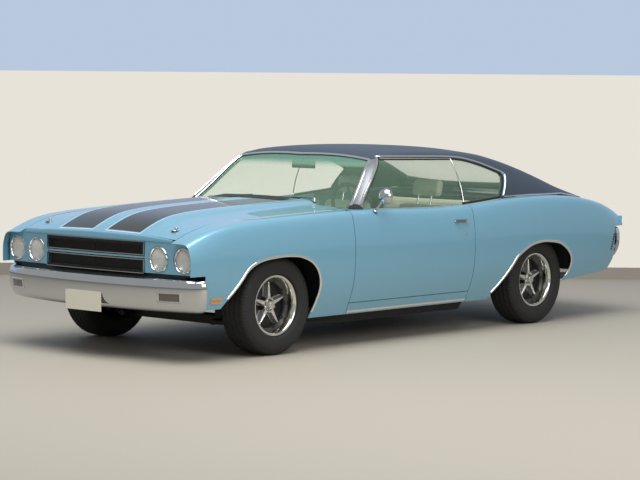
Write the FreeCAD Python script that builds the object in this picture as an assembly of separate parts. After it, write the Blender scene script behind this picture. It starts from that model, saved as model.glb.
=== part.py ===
"""A two-door hardtop coupe with a body on a separate frame, in millimetres.

+Z is up, the nose points to -Y and the car's left side is +X. The origin lies on the ground below
the middle of the whole car.
"""
import FreeCAD, Part
import math
import os

os.makedirs("parts", exist_ok=True)
V = FreeCAD.Vector

# Driving dimensions of the car
length = 5009.0
width = 1915.0
height = 1336.0
wheelbase = 2845.0
front_overhang = 942.0
track = 1524.0
tyre_radius = 328.0
tyre_width = 236.0
rim_radius = 190.0
sheet_gauge = 4.0
panel_gap = 6.0
cut_over = 400.0
seat_gap = 0.3
full_turn = 360
place_digits = 1

half_length = length / 2
half_width = width / 2
front_axle_y = -half_length + front_overhang
rear_axle_y = front_axle_y + wheelbase
axle_z = tyre_radius


# Surfaces and solids shared by the pieces


def blend_at(table, share):
    """The value of a table of pairs at a share, along straight lines between its stations."""
    if share <= table[0][0]:
        return table[0][1]
    for (s0, v0), (s1, v1) in zip(table, table[1:]):
        if share <= s1:
            return v0 + (v1 - v0) * (share - s0) / (s1 - s0)
    return table[-1][1]


def knots_of(count, degree):
    inner = count - degree - 1
    return [degree + 1] + [1] * inner + [degree + 1], list(range(inner + 2))


def net_surface(rows):
    """A clamped cubic surface over a net of control points."""
    u_degree = min(3, len(rows) - 1)
    v_degree = min(3, len(rows[0]) - 1)
    u_mults, u_knots = knots_of(len(rows), u_degree)
    v_mults, v_knots = knots_of(len(rows[0]), v_degree)
    surface = Part.BSplineSurface()
    surface.buildFromPolesMultsKnots(
        rows, u_mults, v_mults, u_knots, v_knots, False, False, u_degree, v_degree
    )
    return surface


def net_curve(points):
    """A clamped cubic curve over control points."""
    degree = min(3, len(points) - 1)
    mults, knots = knots_of(len(points), degree)
    curve = Part.BSplineCurve()
    curve.buildFromPolesMultsKnots(points, mults, knots, False, degree)
    return curve


def inset_net(rows, depth):
    """The net moved by a depth against its outward side, at each control point."""
    last_u, last_v = len(rows) - 1, len(rows[0]) - 1
    moved = []
    for i, row in enumerate(rows):
        moved.append([])
        for j, point in enumerate(row):
            along = rows[min(i + 1, last_u)][j].sub(rows[max(i - 1, 0)][j])
            across = row[min(j + 1, last_v)].sub(row[max(j - 1, 0)])
            normal = along.cross(across)
            normal.normalize()
            moved[-1].append(point.sub(normal * depth))
    return moved


def thick_net(rows, depth):
    """A panel: the surface over a net, thickened inwards by a depth."""
    inner_rows = inset_net(rows, depth)
    faces = [net_surface(rows).toShape(), net_surface(inner_rows).toShape()]
    rims = [
        (rows[0], inner_rows[0]),
        (rows[-1], inner_rows[-1]),
        ([r[0] for r in rows], [r[0] for r in inner_rows]),
        ([r[-1] for r in rows], [r[-1] for r in inner_rows]),
    ]
    for outer, inner in rims:
        faces.append(Part.makeRuledSurface(net_curve(outer).toShape(), net_curve(inner).toShape()))
    return closed_solid(faces)


def closed_solid(faces):
    shell = Part.makeShell(faces)
    shell.sewShape()
    solid = Part.makeSolid(Part.Shell(shell.Faces))
    if solid.Volume < 0:
        solid.reverse()
    return solid


def polygon(points):
    return Part.Face(Part.makePolygon(points + [points[0]]))


def prism_x(points, x_low, x_high):
    """An outline of (y, z) pairs carried from one x to another."""
    face = polygon([V(x_low, y, z) for y, z in points])
    return face.extrude(V(x_high - x_low, 0, 0))


def prism_y(points, y_low, y_high):
    """An outline of (x, z) pairs carried from one y to another."""
    face = polygon([V(x, y_low, z) for x, z in points])
    return face.extrude(V(0, y_high - y_low, 0))


def prism_z(points, z_low, z_high):
    """An outline of (x, y) pairs carried from one z to another."""
    face = polygon([V(x, y, z_low) for x, y in points])
    return face.extrude(V(0, 0, z_high - z_low))


def block(x_low, x_high, y_low, y_high, z_low, z_high):
    return Part.makeBox(
        x_high - x_low, y_high - y_low, z_high - z_low, V(x_low, y_low, z_low)
    )


def rod(start, end, radius):
    """A round bar between two points."""
    direction = end.sub(start)
    return Part.makeCylinder(radius, direction.Length, start, direction)


def bar(start, end, wide, tall):
    """A rectangular bar between two points, its sides upright."""
    sections = []
    heading = end.sub(start)
    side = heading.cross(V(0, 0, 1))
    side.normalize()
    for point in (start, end):
        corners = []
        for across, up in ((-1, -1), (1, -1), (1, 1), (-1, 1)):
            corners.append(point + side * (across * wide / 2) + V(0, 0, up * tall / 2))
        sections.append(Part.makePolygon(corners + [corners[0]]))
    return Part.makeLoft(sections, True, True)


def place(share, size):
    """The place at a share of a size, kept to a tenth of a millimetre."""
    return round(share * size, place_digits)


def places(shares, size):
    return [place(share, size) for share in shares]


def points_of(shares):
    """The points of a side outline whose corners are kept to a tenth of a millimetre."""
    return [(place(u, half_length), place(v, height)) for u, v in shares]


def handed(side, inner, outer):
    """The low and the high end of a reach from the car's middle on one side."""
    return sorted((side * inner, side * outer))
def mirrored(shape):
    return shape.mirror(V(0, 0, 0), V(1, 0, 0))


def joined(shapes):
    first, rest = shapes[0], list(shapes[1:])
    result = first.fuse(rest) if rest else first
    return result.removeSplitter()


def largest(shape):
    return max(shape.Solids, key=lambda solid: solid.Volume)


def save(name, shape):
    solids = shape.Solids
    for solid in solids:
        if not solid.isValid():
            print("not valid:", name)
    whole = solids[0] if len(solids) == 1 else Part.makeCompound(solids)
    whole.exportStep(os.path.join("parts", name + ".step"))
    print(name, len(solids), round(whole.Volume / 1e6, 2), "l")


# Body side: one surface from the sill over the crest to the inboard edge of the top
# Stations are shares of half the length, heights are shares of the height
crest_shares = [
    (-0.958, 0.573), (-0.914, 0.608), (-0.858, 0.642), (-0.799, 0.659), (-0.687, 0.671),
    (-0.511, 0.683), (-0.287, 0.696), (-0.12, 0.687), (0.104, 0.680), (0.204, 0.690),
    (0.343, 0.712), (0.479, 0.716), (0.655, 0.713), (0.747, 0.690), (0.8185, 0.665),
    (0.868, 0.641), (0.930, 0.599), (0.958, 0.569),
]
plan_shares = [
    (-0.958, 0.945), (-0.878, 0.966), (-0.759, 0.980), (-0.624, 0.986), (-0.439, 0.988),
    (-0.24, 0.990), (0.0, 0.993), (0.2, 0.996), (0.4, 1.001), (0.519, 1.002),
    (0.679, 0.995), (0.839, 0.972), (0.918, 0.946), (0.958, 0.922),
]
side_station_shares = [
    -0.958, -0.914, -0.858, -0.78, -0.66, -0.511, -0.36, -0.2, -0.05, 0.104, 0.22,
    0.343, 0.479, 0.63, 0.747, 0.8185, 0.868, 0.930, 0.958,
]
# Each row is an inset from the widest line as a share of half the width, then a height:
# below the belt line a share of the height, above it a share of the rise to the crest
belly_height_share = 0.487
lower_section_shares = [
    (0.099, 0.166), (0.062, 0.225), (0.022, 0.30), (0.003, 0.39), (-0.001, 0.487),
]
upper_section_shares = [
    (0.006, 0.38), (0.020, 0.72), (0.038, 0.93), (0.064, 1.0), (0.105, 1.015), (0.18, 1.02),
    (0.29, 1.02),
]


def crest_z(y):
    return blend_at(crest_shares, y / half_length) * height


def plan_x(y):
    return blend_at(plan_shares, y / half_length) * half_width


def side_row(y):
    belly_z = belly_height_share * height
    rise = crest_z(y) - belly_z
    row = []
    for inset, up in lower_section_shares:
        row.append(V(plan_x(y) - inset * half_width, y, up * height))
    for inset, up in upper_section_shares:
        row.append(V(plan_x(y) - inset * half_width, y, belly_z + up * rise))
    return row


side_rows = [side_row(s * half_length) for s in side_station_shares]
side_skin = thick_net(side_rows, sheet_gauge)


def top_z(y):
    """The level of the flat top beside the hood and the trunk lid."""
    belly_z = belly_height_share * height
    return belly_z + upper_section_shares[-1][1] * (crest_z(y) - belly_z)


# The cabin's trim plane, which the doors and walls reach inwards
trim_share = 0.83551
trim_x = place(trim_share, half_width)


def side_bulk(rows):
    """The whole volume below and inboard of the side surface over a net."""
    inner_top = [row[-1] for row in rows]
    sill = [row[0] for row in rows]
    inner_low = [V(top.x, top.y, low.z) for top, low in zip(inner_top, sill)]
    faces = [net_surface(rows).toShape()]
    faces.append(Part.makeRuledSurface(net_curve(inner_top).toShape(), net_curve(inner_low).toShape()))
    faces.append(Part.makeRuledSurface(net_curve(sill).toShape(), net_curve(inner_low).toShape()))
    for row, corner in ((rows[0], inner_low[0]), (rows[-1], inner_low[-1])):
        edges = [net_curve(row).toShape(), Part.makeLine(row[-1], corner), Part.makeLine(corner, row[0])]
        faces.append(Part.Face(Part.Wire(edges)))
    return closed_solid(faces)


full_bulk = side_bulk(side_rows)
inner_rows = []
for row, inset_row in zip(side_rows, inset_net(side_rows, sheet_gauge)):
    inner_rows.append([V(inset.x, outer.y, inset.z) for inset, outer in zip(inset_row, row)])
inner_bulk = side_bulk(inner_rows)

# Doors, their gaps and hinges
door_end_shares = [-0.34837, 0.17069]
door_front_y, door_rear_y = places(door_end_shares, half_length)
door_bottom_share = 0.22455
door_bottom_z = place(door_bottom_share, height)
gap = panel_gap / 2
hinge_set_back = 60.0
hinge_x_share = 0.95561
hinge_x = place(hinge_x_share, half_width)
hinge_y = door_front_y + gap + hinge_set_back
box_behind_hinge = 20.0
box_rear_inset = 12.0
glass_thick = 5.0
glass_x_share = 0.88564
glass_x = place(glass_x_share, half_width)
belt_slot = 12.0
slot_wall = 14.0
hood_seam_share = 0.76031
hood_seam_x = place(hood_seam_share, half_width)
deck_seam_share = 0.71645
deck_seam_x = place(deck_seam_share, half_width)
fender_tip_share = -0.29467
fender_tip_y = place(fender_tip_share, half_length)
body_end_shares = [-0.95229, 0.95508]
front_cut_y, rear_cut_y = places(body_end_shares, half_length)
low_z = 100.0
high_z = height + cut_over
sill_low_share = 0.16093
sill_low_z = place(sill_low_share, height)
hinge_pin_radius = 6.0
hinge_eye_radius = 12.0
hinge_eye_tall = 50.0
hinge_height_shares = [0.36302, 0.51647]
hinge_heights = places(hinge_height_shares, height)
strap_thick = 8.0
pillar_x_shares = [0.73107, 0.80418]
pillar_x = places(pillar_x_shares, half_width)
pillar_front_y = door_front_y + gap * 1.5


# Wheel arches, as points around the axle, in shares of the tyre radius
front_arch_shares = [
    (-1.74, -0.25), (-1.66, 0.06), (-1.24, 0.53), (-1.0, 0.79), (-0.655, 0.935), (-0.137, 0.99),
    (0.256, 0.985), (0.518, 0.945), (0.81, 0.82), (1.0, 0.605), (1.073, 0.345), (1.05, 0.09),
    (0.97, -0.34),
]
rear_arch_shares = [
    (-1.92, -0.45), (-1.78, -0.24), (-1.50, 0.05), (-1.17, 0.43), (-0.985, 0.62), (-0.567, 0.82),
    (-0.168, 0.885), (0.131, 0.88), (0.51, 0.83), (0.78, 0.71), (0.975, 0.55), (1.058, 0.36),
    (1.0, 0.155), (0.84, -0.10),
]


def arch_points(shares, axle_y, scale):
    size = scale * tyre_radius
    return [(axle_y + u * size, axle_z + v * size) for u, v in shares]


def arch_cutter(shares, axle_y, x_low, x_high, scale=1):
    """The wheel opening: the arch curve, closed below the sill."""
    points = arch_points(shares, axle_y, scale)
    curve = Part.BSplineCurve()
    curve.interpolate([V(x_low, y, z) for y, z in points])
    start, end = curve.StartPoint, curve.EndPoint
    low_end, low_start = V(x_low, end.y, low_z), V(x_low, start.y, low_z)
    edges = [curve.toShape(), Part.makeLine(end, low_end)]
    edges += [Part.makeLine(low_end, low_start), Part.makeLine(low_start, start)]
    return Part.Face(Part.Wire(edges)).extrude(V(x_high - x_low, 0, 0))


front_arch = arch_cutter(front_arch_shares, front_axle_y, trim_x - cut_over, width)
rear_arch = arch_cutter(rear_arch_shares, rear_axle_y, trim_x - cut_over, width)
bumper_top_share = 0.42066
bumper_top_z = place(bumper_top_share, height)
bumper_end_share = -0.90876
bumper_end_y = place(bumper_end_share, half_length)
fender_low_share = 0.25823
fender_low_z = place(fender_low_share, height)
fender_rise_share = -0.81853
fender_under = [
    (front_cut_y, bumper_top_z + gap), (front_cut_y, high_z), (door_front_y - gap, high_z),
    (door_front_y - gap, sill_low_z), (front_axle_y, sill_low_z),
    (place(fender_rise_share, half_length), fender_low_z),
    (bumper_end_y + gap, fender_low_z), (bumper_end_y + gap, bumper_top_z + gap),
]
fender = side_skin.common(prism_x(fender_under, hood_seam_x + gap, width)).cut(front_arch)
fender_tip = block(
    hood_seam_x + gap, trim_x - gap, door_front_y - cut_over, fender_tip_y, low_z, high_z
)
fender = fender.fuse(side_skin.common(fender_tip))
save("fender_left", fender)
save("fender_right", mirrored(fender))

tail_low_shares = [
    (0.60, 0.225), (0.743, 0.249), (0.807, 0.255), (0.871, 0.271), (0.893, 0.328), (0.897, 0.40),
    (0.897, 0.5185),
]
quarter_line = [(door_rear_y + gap, sill_low_z), (rear_axle_y, sill_low_z)]
quarter_line += [(u * half_length, v * height) for u, v in tail_low_shares]
quarter_line += [(rear_cut_y, tail_low_shares[-1][1] * height), (rear_cut_y, high_z)]
quarter_line += [(door_rear_y + gap, high_z)]
quarter_wall_end_share = 0.2795
quarter_slot_end_share = 0.41925
quarter_wall_end_y = place(quarter_wall_end_share, half_length)
slot_floor_share = 0.6448
quarter_slot_share = 0.66
quarter = full_bulk.common(prism_x(quarter_line, deck_seam_x, width))
quarter = quarter.cut(inner_bulk.common(block(0, width, quarter_wall_end_y, length, low_z, high_z)))
quarter = quarter.cut(block(0, trim_x, door_rear_y, quarter_wall_end_y, low_z, high_z))
quarter_slot = block(
    0, glass_x + belt_slot, door_rear_y, place(quarter_slot_end_share, half_length),
    quarter_slot_share * height, high_z,
)
quarter = largest(quarter.cut(quarter_slot).cut(rear_arch))
save("quarter_left", quarter)
save("quarter_right", mirrored(quarter))

rocker_area = block(
    trim_x, width, door_front_y + gap, door_rear_y - gap, sill_low_z, door_bottom_z - gap
)
rocker = full_bulk.common(rocker_area)
save("rocker_left", rocker)
save("rocker_right", mirrored(rocker))


def door_shape():
    """A hollow skin at both ends, the full wall between them and a slot for the glass."""
    front_y, rear_y = door_front_y + gap, door_rear_y - gap
    box_front_y, box_rear_y = hinge_y + box_behind_hinge, rear_y - box_rear_inset
    outboard_x = glass_x + belt_slot / 2 + gap
    shape = full_bulk.common(block(trim_x, width, front_y, rear_y, door_bottom_z + gap, high_z))
    for y_low, y_high in ((front_y - gap, box_front_y), (box_rear_y, rear_y + gap)):
        hollow = inner_bulk.common(block(0, width, y_low, y_high, low_z, high_z))
        shape = shape.cut([hollow, block(0, outboard_x, y_low, y_high, low_z, high_z)])
    slot = block(
        trim_x + slot_wall, outboard_x, box_front_y + belt_slot, width, slot_floor_share * height, high_z
    )
    shape = shape.cut(slot)
    for z in hinge_heights:
        eye = Part.makeCylinder(hinge_eye_radius, hinge_eye_tall, V(hinge_x, hinge_y, z))
        strap = block(
            hinge_x - hinge_eye_radius / 2, hinge_x + hinge_eye_radius / 2, hinge_y,
            hinge_y + box_behind_hinge + belt_slot, z, z + hinge_eye_tall,
        )
        hole = Part.makeCylinder(hinge_pin_radius + seat_gap, hinge_eye_tall, V(hinge_x, hinge_y, z))
        shape = shape.fuse([eye, strap]).cut(hole)
    return shape


door = door_shape()
save("door_left", door)
save("door_right", mirrored(door))

# Roof, pillars and windows: one surface over the cabin
# Rows: y as a share of half the length, centre height, corner x and corner height as shares
cabin_shares = [
    (-0.320, 0.655, 0.84, 0.66), (-0.280, 0.735, 0.825, 0.705), (-0.240, 0.812, 0.785, 0.771),
    (-0.200, 0.890, 0.747, 0.844), (-0.160, 0.958, 0.708, 0.913), (-0.120, 0.986, 0.684, 0.954),
    (-0.060, 0.997, 0.681, 0.970), (0.040, 1.0015, 0.698, 0.973), (0.160, 1.0, 0.710, 0.966),
    (0.280, 0.988, 0.718, 0.955), (0.380, 0.966, 0.725, 0.925), (0.460, 0.918, 0.731, 0.890),
    (0.540, 0.842, 0.740, 0.847), (0.620, 0.756, 0.754, 0.795), (0.680, 0.722, 0.778, 0.748),
    (0.760, 0.700, 0.825, 0.703),
]
# The section's wall as shares of the lean and the rise, and its top as shares of the corner's
# breadth and of the crown
cabin_wall_shares = [(0.18, 0.35), (0.60, 0.72), (0.93, 0.93)]
cabin_top_shares = [(0.975, 0.05), (0.86, 0.35), (0.50, 0.90), (0.15, 1.0)]
cabin_thick = 30.0
belt_below = 60.0
side_bow = 14.0
roof_seat = -4.0


def cabin_half(y, top_z_here, corner_x, corner_z):
    """Half a section of the cabin, from the belt over the roof corner to the middle."""
    foot_z = crest_z(y) - belt_below
    rise = corner_z - foot_z
    lean = glass_x - corner_x
    crown = top_z_here - corner_z
    half = [V(glass_x, y, foot_z)]
    for inward, upward in cabin_wall_shares:
        half.append(V(glass_x - lean * inward + side_bow, y, foot_z + rise * upward))
    for outward, upward in cabin_top_shares:
        half.append(V(corner_x * outward, y, corner_z + crown * upward))
    return half


cabin_rows = []
for along, middle, corner, corner_up in cabin_shares:
    half = cabin_half(along * half_length, middle * height, corner * half_width, corner_up * height)
    cabin_rows.append(half + [V(-p.x, p.y, p.z) for p in reversed(half)])
cabin_shell = thick_net(cabin_rows, cabin_thick)

shield_end_shares = [-0.29347, -0.27431, -0.14454, -0.15652]
windshield_base_y, shield_corner_y, shield_side_y, windshield_top_y = places(
    shield_end_shares, half_length
)
backlight_end_shares = [0.37333, 0.61689]
backlight_top_y, backlight_low_y = places(backlight_end_shares, half_length)
deck_front_share = 0.63326
deck_front_y = place(deck_front_share, half_length)
shield_x_shares = [0.77807, 0.63916]
shield_low_x, shield_top_x = places(shield_x_shares, half_width)
light_x_shares = [0.58486, 0.63708]
light_top_x, light_low_x = places(light_x_shares, half_width)
door_window_shares = [
    (-0.272, 0.60), (-0.262, 0.712), (-0.118, 0.948), (0.172, 0.938), (0.172, 0.60),
]
quarter_window_shares = [
    (0.180, 0.700), (0.180, 0.937), (0.230, 0.926), (0.290, 0.902), (0.350, 0.868), (0.382, 0.845),
    (0.386, 0.825), (0.352, 0.728), (0.335, 0.722),
]
shield_outline = [
    (-shield_low_x, shield_corner_y), (-shield_top_x, shield_side_y), (0, windshield_top_y),
    (shield_top_x, shield_side_y), (shield_low_x, shield_corner_y), (shield_low_x, -half_length),
    (-shield_low_x, -half_length),
]
light_outline = [
    (-light_top_x, backlight_top_y), (light_top_x, backlight_top_y), (light_low_x, backlight_low_y),
    (-light_low_x, backlight_low_y),
]


def shrunk(outline, inset):
    """An outline with each corner moved towards its middle by an inset."""
    middle_u = sum(u for u, v in outline) / len(outline)
    middle_v = sum(v for u, v in outline) / len(outline)
    result = []
    for u, v in outline:
        away = math.hypot(u - middle_u, v - middle_v)
        result.append((u + (middle_u - u) * inset / away, v + (middle_v - v) * inset / away))
    return result


def outline_of(shares):
    return [(u * half_length, v * height) for u, v in shares]


roof_line_low = [(u * half_length, top_z(u * half_length) + roof_seat) for u, v in crest_shares]
above_belt = prism_x(
    roof_line_low + [(half_length, high_z), (-half_length, high_z)], -width, width
)
door_opening = prism_x(outline_of(door_window_shares), -width, width)
quarter_opening = prism_x(outline_of(quarter_window_shares), -width, width)
shield_opening = prism_z(shield_outline, low_z, high_z)
light_opening = prism_z(light_outline, low_z, high_z)
deck_opening = block(
    -deck_seam_x - gap, deck_seam_x + gap, deck_front_y, half_length, low_z, high_z
)
roof = cabin_shell.common(above_belt)
roof = largest(roof.cut([quarter, mirrored(quarter), fender, mirrored(fender)]))
for opening in (shield_opening, light_opening, deck_opening, door_opening, quarter_opening):
    roof = roof.cut(opening)
divider_shares = [0.168, 0.1802]
divider_top_share = 0.937
divider_front_y, divider_rear_y = [share * half_length for share in divider_shares]
divider_gap = block(
    -width, width, divider_front_y, divider_rear_y, low_z, divider_top_share * height
)
roof = roof.cut(divider_gap)
save("roof", roof)

glass_inset = 6.0
pane_corner_gap = 0.42
pane_inner_share = 0.6
pane_inner_x = pane_inner_share * half_width
glass_shell = thick_net(inset_net(cabin_rows, glass_inset), glass_thick)
pane_width_share = 0.9995
windshield_area = []
for x, y in shield_outline:
    windshield_area.append((x * pane_width_share, y - (seat_gap if y > -half_length else 0)))
windshield = glass_shell.common(prism_z(windshield_area, low_z, high_z)).common(
    block(-width, width, windshield_base_y, 0, low_z, high_z)
)
save("windshield", windshield)
back_area = shrunk(light_outline, pane_corner_gap)
save("back_glass", glass_shell.common(prism_z(back_area, low_z, high_z)))

door_glass_shares = [
    (-0.2655, 0.645), (-0.2605, 0.709), (-0.1175, 0.9435), (0.1695, 0.9335), (0.1695, 0.645),
]
door_glass = glass_shell.common(prism_x(outline_of(door_glass_shares), pane_inner_x, width))
save("door_glass_left", door_glass)
save("door_glass_right", mirrored(door_glass))
quarter_area = shrunk(outline_of(quarter_window_shares), pane_corner_gap)
quarter_glass = glass_shell.common(prism_x(quarter_area, pane_inner_x, width))
save("quarter_glass", Part.makeCompound([quarter_glass, mirrored(quarter_glass)]))

# Hood with its raised centre, and the trunk lid
hood_half = hood_seam_x - gap
hood_station_shares = [
    -0.93911, -0.92234, -0.87842, -0.81853, -0.69874, -0.55899, -0.41925,
    -0.31543,
]
hood_stations = places(hood_station_shares, half_length)
hood_rear_y = hood_stations[-1]
dome_rise_shares = [0, 0.12, 0.55, 0.95, 1, 1, 1, 1]
dome_rise = 30.0
hood_crown = 26.0
hood_profile_shares = [
    (1.0, 0.0, 0.0), (0.88, 0.25, 0.0), (0.76, 0.45, 0.0), (0.68, 0.6, 0.05), (0.63, 0.65, 0.85),
    (0.55, 0.72, 1.0), (0.30, 0.9, 1.0), (0.0, 1.0, 1.0),
]


def lid_rows(stations, half_x, profile, crown, dome_shares, dome):
    rows = []
    for y, risen in zip(stations, dome_shares):
        edge = top_z(y)
        half = [V(u * half_x, y, edge + c * crown + d * risen * dome) for u, c, d in profile]
        rows.append(half + [V(-p.x, p.y, p.z) for p in reversed(half[:-1])])
    return rows


hood_rows = lid_rows(
    hood_stations, hood_half, hood_profile_shares, hood_crown, dome_rise_shares, dome_rise
)
lid_hinge_share = 0.58486
lid_hinge_x = place(lid_hinge_share, half_width)
lid_eye_wide = 16.0
lid_eye_radius = 11.0
lid_pin_radius = 5.0
lid_axis_below = 16.0
lid_axis_in = 60.0
lug_depth = 64.0
hood_axis_y = hood_rear_y - lid_axis_in
hood_axis_z = top_z(hood_axis_y) - lid_axis_below


def with_hinge_eyes(rows, y, z):
    """The thin lid over a net, with a bored lug below it at each hinge."""
    depth = lug_depth
    thick = thick_net(rows, depth)
    pieces = [thick_net(rows, sheet_gauge)]
    holes = []
    r = lid_eye_radius
    for s in (-1, 1):
        low, high = s * lid_hinge_x - lid_eye_wide / 2, s * lid_hinge_x + lid_eye_wide / 2
        lug = block(low, high, y - r, y + r, z, z + depth).common(thick)
        pieces += [lug, rod(V(low, y, z), V(high, y, z), r)]
        holes.append(rod(V(low - gap, y, z), V(high + gap, y, z), lid_pin_radius + seat_gap))
    return joined(pieces).cut(holes)


hood = with_hinge_eyes(hood_rows, hood_axis_y, hood_axis_z)
save("hood", hood)
lid_station_shares = [0.63566, 0.67079, 0.73867, 0.81853, 0.87842, 0.91835, 0.9471]
lid_stations = places(lid_station_shares, half_length)
lid_profile_shares = [(1.0, 0.0, 0.0), (0.8, 0.45, 0.0), (0.5, 0.85, 0.0), (0.0, 1.0, 0.0)]
lid_crown = 22.0
flat_shares = [0] * len(lid_stations)
trunk_rows = lid_rows(
    lid_stations, deck_seam_x - gap, lid_profile_shares, lid_crown, flat_shares, 0
)
trunk_axis_y = lid_stations[0] + lid_axis_in
trunk_axis_z = top_z(trunk_axis_y) - lid_axis_below
save("trunk_lid", with_hinge_eyes(trunk_rows, trunk_axis_y, trunk_axis_z))


# Nose, grille and lamps
nose_centre_share = -0.95508
nose_centre_y = place(nose_centre_share, half_length)
nose_sweep = 44.0
nose_reach_share = 0.89
nose_x_shares = [-0.93, -0.66, -0.33, 0.0, 0.33, 0.66, 0.93]
nose_low_z = bumper_top_z + gap * 2
nose_top_share = 0.58533
nose_top_z = place(nose_top_share, height)
nose_depth = 30.0
lamp_z_share = 0.49326
lamp_z = place(lamp_z_share, height)
lamp_x_shares = [0.61097, 0.83029]
lamp_xs = places(lamp_x_shares, half_width)
lamp_radius = 84.0
grille_half_share = 0.48877
grille_half = place(grille_half_share, half_width)
grille_z_shares = [0.43563, 0.55988]
grille_low_z, grille_top_z = places(grille_z_shares, height)


def nose_y(x):
    return nose_centre_y + nose_sweep * (x / (half_width * nose_reach_share)) ** 2


def nose_panel():
    rows = []
    for z in (nose_low_z, (nose_low_z + nose_top_z) / 2, nose_top_z):
        rows.append([V(u * half_width, nose_y(u * half_width), z) for u in nose_x_shares])
    slab = thick_net(rows[::-1], nose_depth)
    for side in (-1, 1):
        for x in lamp_xs:
            start = V(side * x, -half_length, lamp_z)
            slab = slab.cut(Part.makeCylinder(lamp_radius, cut_over, start, V(0, 1, 0)))
    slab = slab.cut(block(-grille_half, grille_half, -half_length, 0, grille_low_z, grille_top_z))
    return largest(slab.cut([fender, mirrored(fender)]))


save("nose_panel", nose_panel())


lens_curve_share = 0.6
lens_rise_share = 0.75
bowl_share = 0.5


def lamp(x):
    """A sealed beam lamp: a bright ring, a bowl behind and a domed lens."""
    ring_wide = 11.0
    bowl_deep = 70.0
    lens_out = 12.0
    outer = lamp_radius - seat_gap
    lens = lamp_radius - ring_wide
    y_front = nose_y(abs(x)) + gap * 2
    half_profile = [
        V(0, -lens_out, 0), V(lens * lens_curve_share, -lens_out * lens_rise_share, 0), V(lens, 0, 0),
        V(outer, -gap, 0), V(outer, nose_depth, 0), V(outer * bowl_share, bowl_deep, 0),
        V(0, bowl_deep, 0),
    ]
    body = polygon(half_profile).revolve(V(0, 0, 0), V(0, 1, 0), full_turn)
    body.translate(V(x, y_front, lamp_z))
    return body


save("headlamps", Part.makeCompound([lamp(x * s) for x in lamp_xs for s in (-1, 1)]))


def grille():
    """Two tiers of thin bars in frames, with a slight point in the middle."""
    point_out = 14.0
    frame_bar = 9.0
    thin_bar = 4.0
    bars_per_tier = 5
    middle_bar = 30.0
    bar_deep = 16.0
    set_back = 8.0
    half = grille_half - seat_gap
    z_mid = (grille_low_z + grille_top_z) / 2
    tiers = [
        (grille_low_z + seat_gap, z_mid - middle_bar / 2),
        (z_mid + middle_bar / 2, grille_top_z - seat_gap),
    ]
    pieces = []
    for side in (-1, 1):
        def at(x, z):
            reach = abs(x) / half
            return V(x, nose_centre_y + set_back + point_out * reach, z)

        rows = []
        for low, top in tiers:
            rows += [(low + frame_bar / 2, frame_bar), (top - frame_bar / 2, frame_bar)]
            step = (top - low) / (bars_per_tier + 1)
            rows += [(low + step * (k + 1), thin_bar) for k in range(bars_per_tier)]
        rows.append((z_mid, middle_bar))
        for z, tall in rows:
            pieces.append(bar(at(0, z), at(side * half, z), bar_deep, tall))
        post = at(side * (half - frame_bar / 2), z_mid)
        pieces.append(
            block(
                post.x - frame_bar / 2, post.x + frame_bar / 2, post.y - bar_deep / 2, post.y + bar_deep,
                grille_low_z + seat_gap, grille_top_z - seat_gap,
            )
        )
    centre = at(0, z_mid)
    pieces.append(
        block(
            -frame_bar, frame_bar, centre.y - bar_deep / 4, centre.y + bar_deep,
            grille_low_z + seat_gap, grille_top_z - seat_gap,
        )
    )
    back_y = centre.y + bar_deep + point_out
    pieces.append(
        block(
            -half, half, back_y, back_y + sheet_gauge, grille_low_z + seat_gap, grille_top_z - seat_gap
        )
    )
    web = block(-frame_bar, frame_bar, centre.y, back_y + sheet_gauge, grille_low_z + seat_gap, z_mid)
    return joined(pieces + [web])


save("grille", grille())

# Bumpers: a curved channel along a plan line, with arms to the frame
# A section is a depth as a share of the bumper's depth, then a height as a share of the height
bumper_gauge = 5.0
bumper_deep = 80.0
front_plan_shares = [
    (0.0, -1.0), (0.30, -0.998), (0.56, -0.984), (0.78, -0.966), (0.925, -0.944), (0.972, -0.925),
    (0.981, -0.911),
]
front_section_shares = [
    (-0.925, 0.41617), (-0.375, 0.42066), (-0.05, 0.40793), (0, 0.37425), (-0.0375, 0.32934),
    (-0.2, 0.28817), (-0.6, 0.26123), (-0.95, 0.26347),
]
rear_plan_shares = [
    (0.0, 1.0), (0.30, 0.998), (0.56, 0.988), (0.78, 0.970), (0.90, 0.950), (0.952, 0.928),
    (0.964, 0.9005),
]
rear_section_shares = [
    (-0.875, 0.51198), (-0.375, 0.51647), (-0.075, 0.50299), (0, 0.46407), (0, 0.41916),
    (-0.175, 0.37425), (-0.65, 0.33084), (-0.975, 0.32934),
]
rail_end_share = 0.93033
rail_end_y = place(rail_end_share, half_length)
rail_front_share = 0.40731
rail_rear_share = 0.50131
rail_front_x = place(rail_front_share, half_width)
rail_rear_x = place(rail_rear_share, half_width)
rail_front_z_share = 0.32186
rail_rear_z_share = 0.28443
rail_front_z = place(rail_front_z_share, height)
rail_rear_z = place(rail_rear_z_share, height)
rail_wide = 60.0
rail_tall = 96.0
arm_wide = 40.0
arm_tall = 70.0
front_arm_end = 26.0
rear_arm_end = 42.0
rear_arm_lap = 48.0


def bumper(plan_shares_here, section, end_sign):
    """The channel: its section stood off each point of the plan line."""
    plan = [(u * half_width, v * half_length) for u, v in plan_shares_here]
    plan = [(-x, y) for x, y in reversed(plan[1:])] + plan
    rows = []
    last = len(plan) - 1
    for i, (x, y) in enumerate(plan):
        before, after = plan[max(i - 1, 0)], plan[min(i + 1, last)]
        run = V(after[0] - before[0], after[1] - before[1], 0)
        outward = V(run.y, -run.x, 0) * -end_sign
        outward.normalize()
        rows.append([V(x, y, z) + outward * d for d, z in section])
    if end_sign > 0:
        rows = [list(reversed(row)) for row in rows]
    return thick_net(rows, -bumper_gauge if net_faces_in(rows, end_sign) else bumper_gauge)


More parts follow.
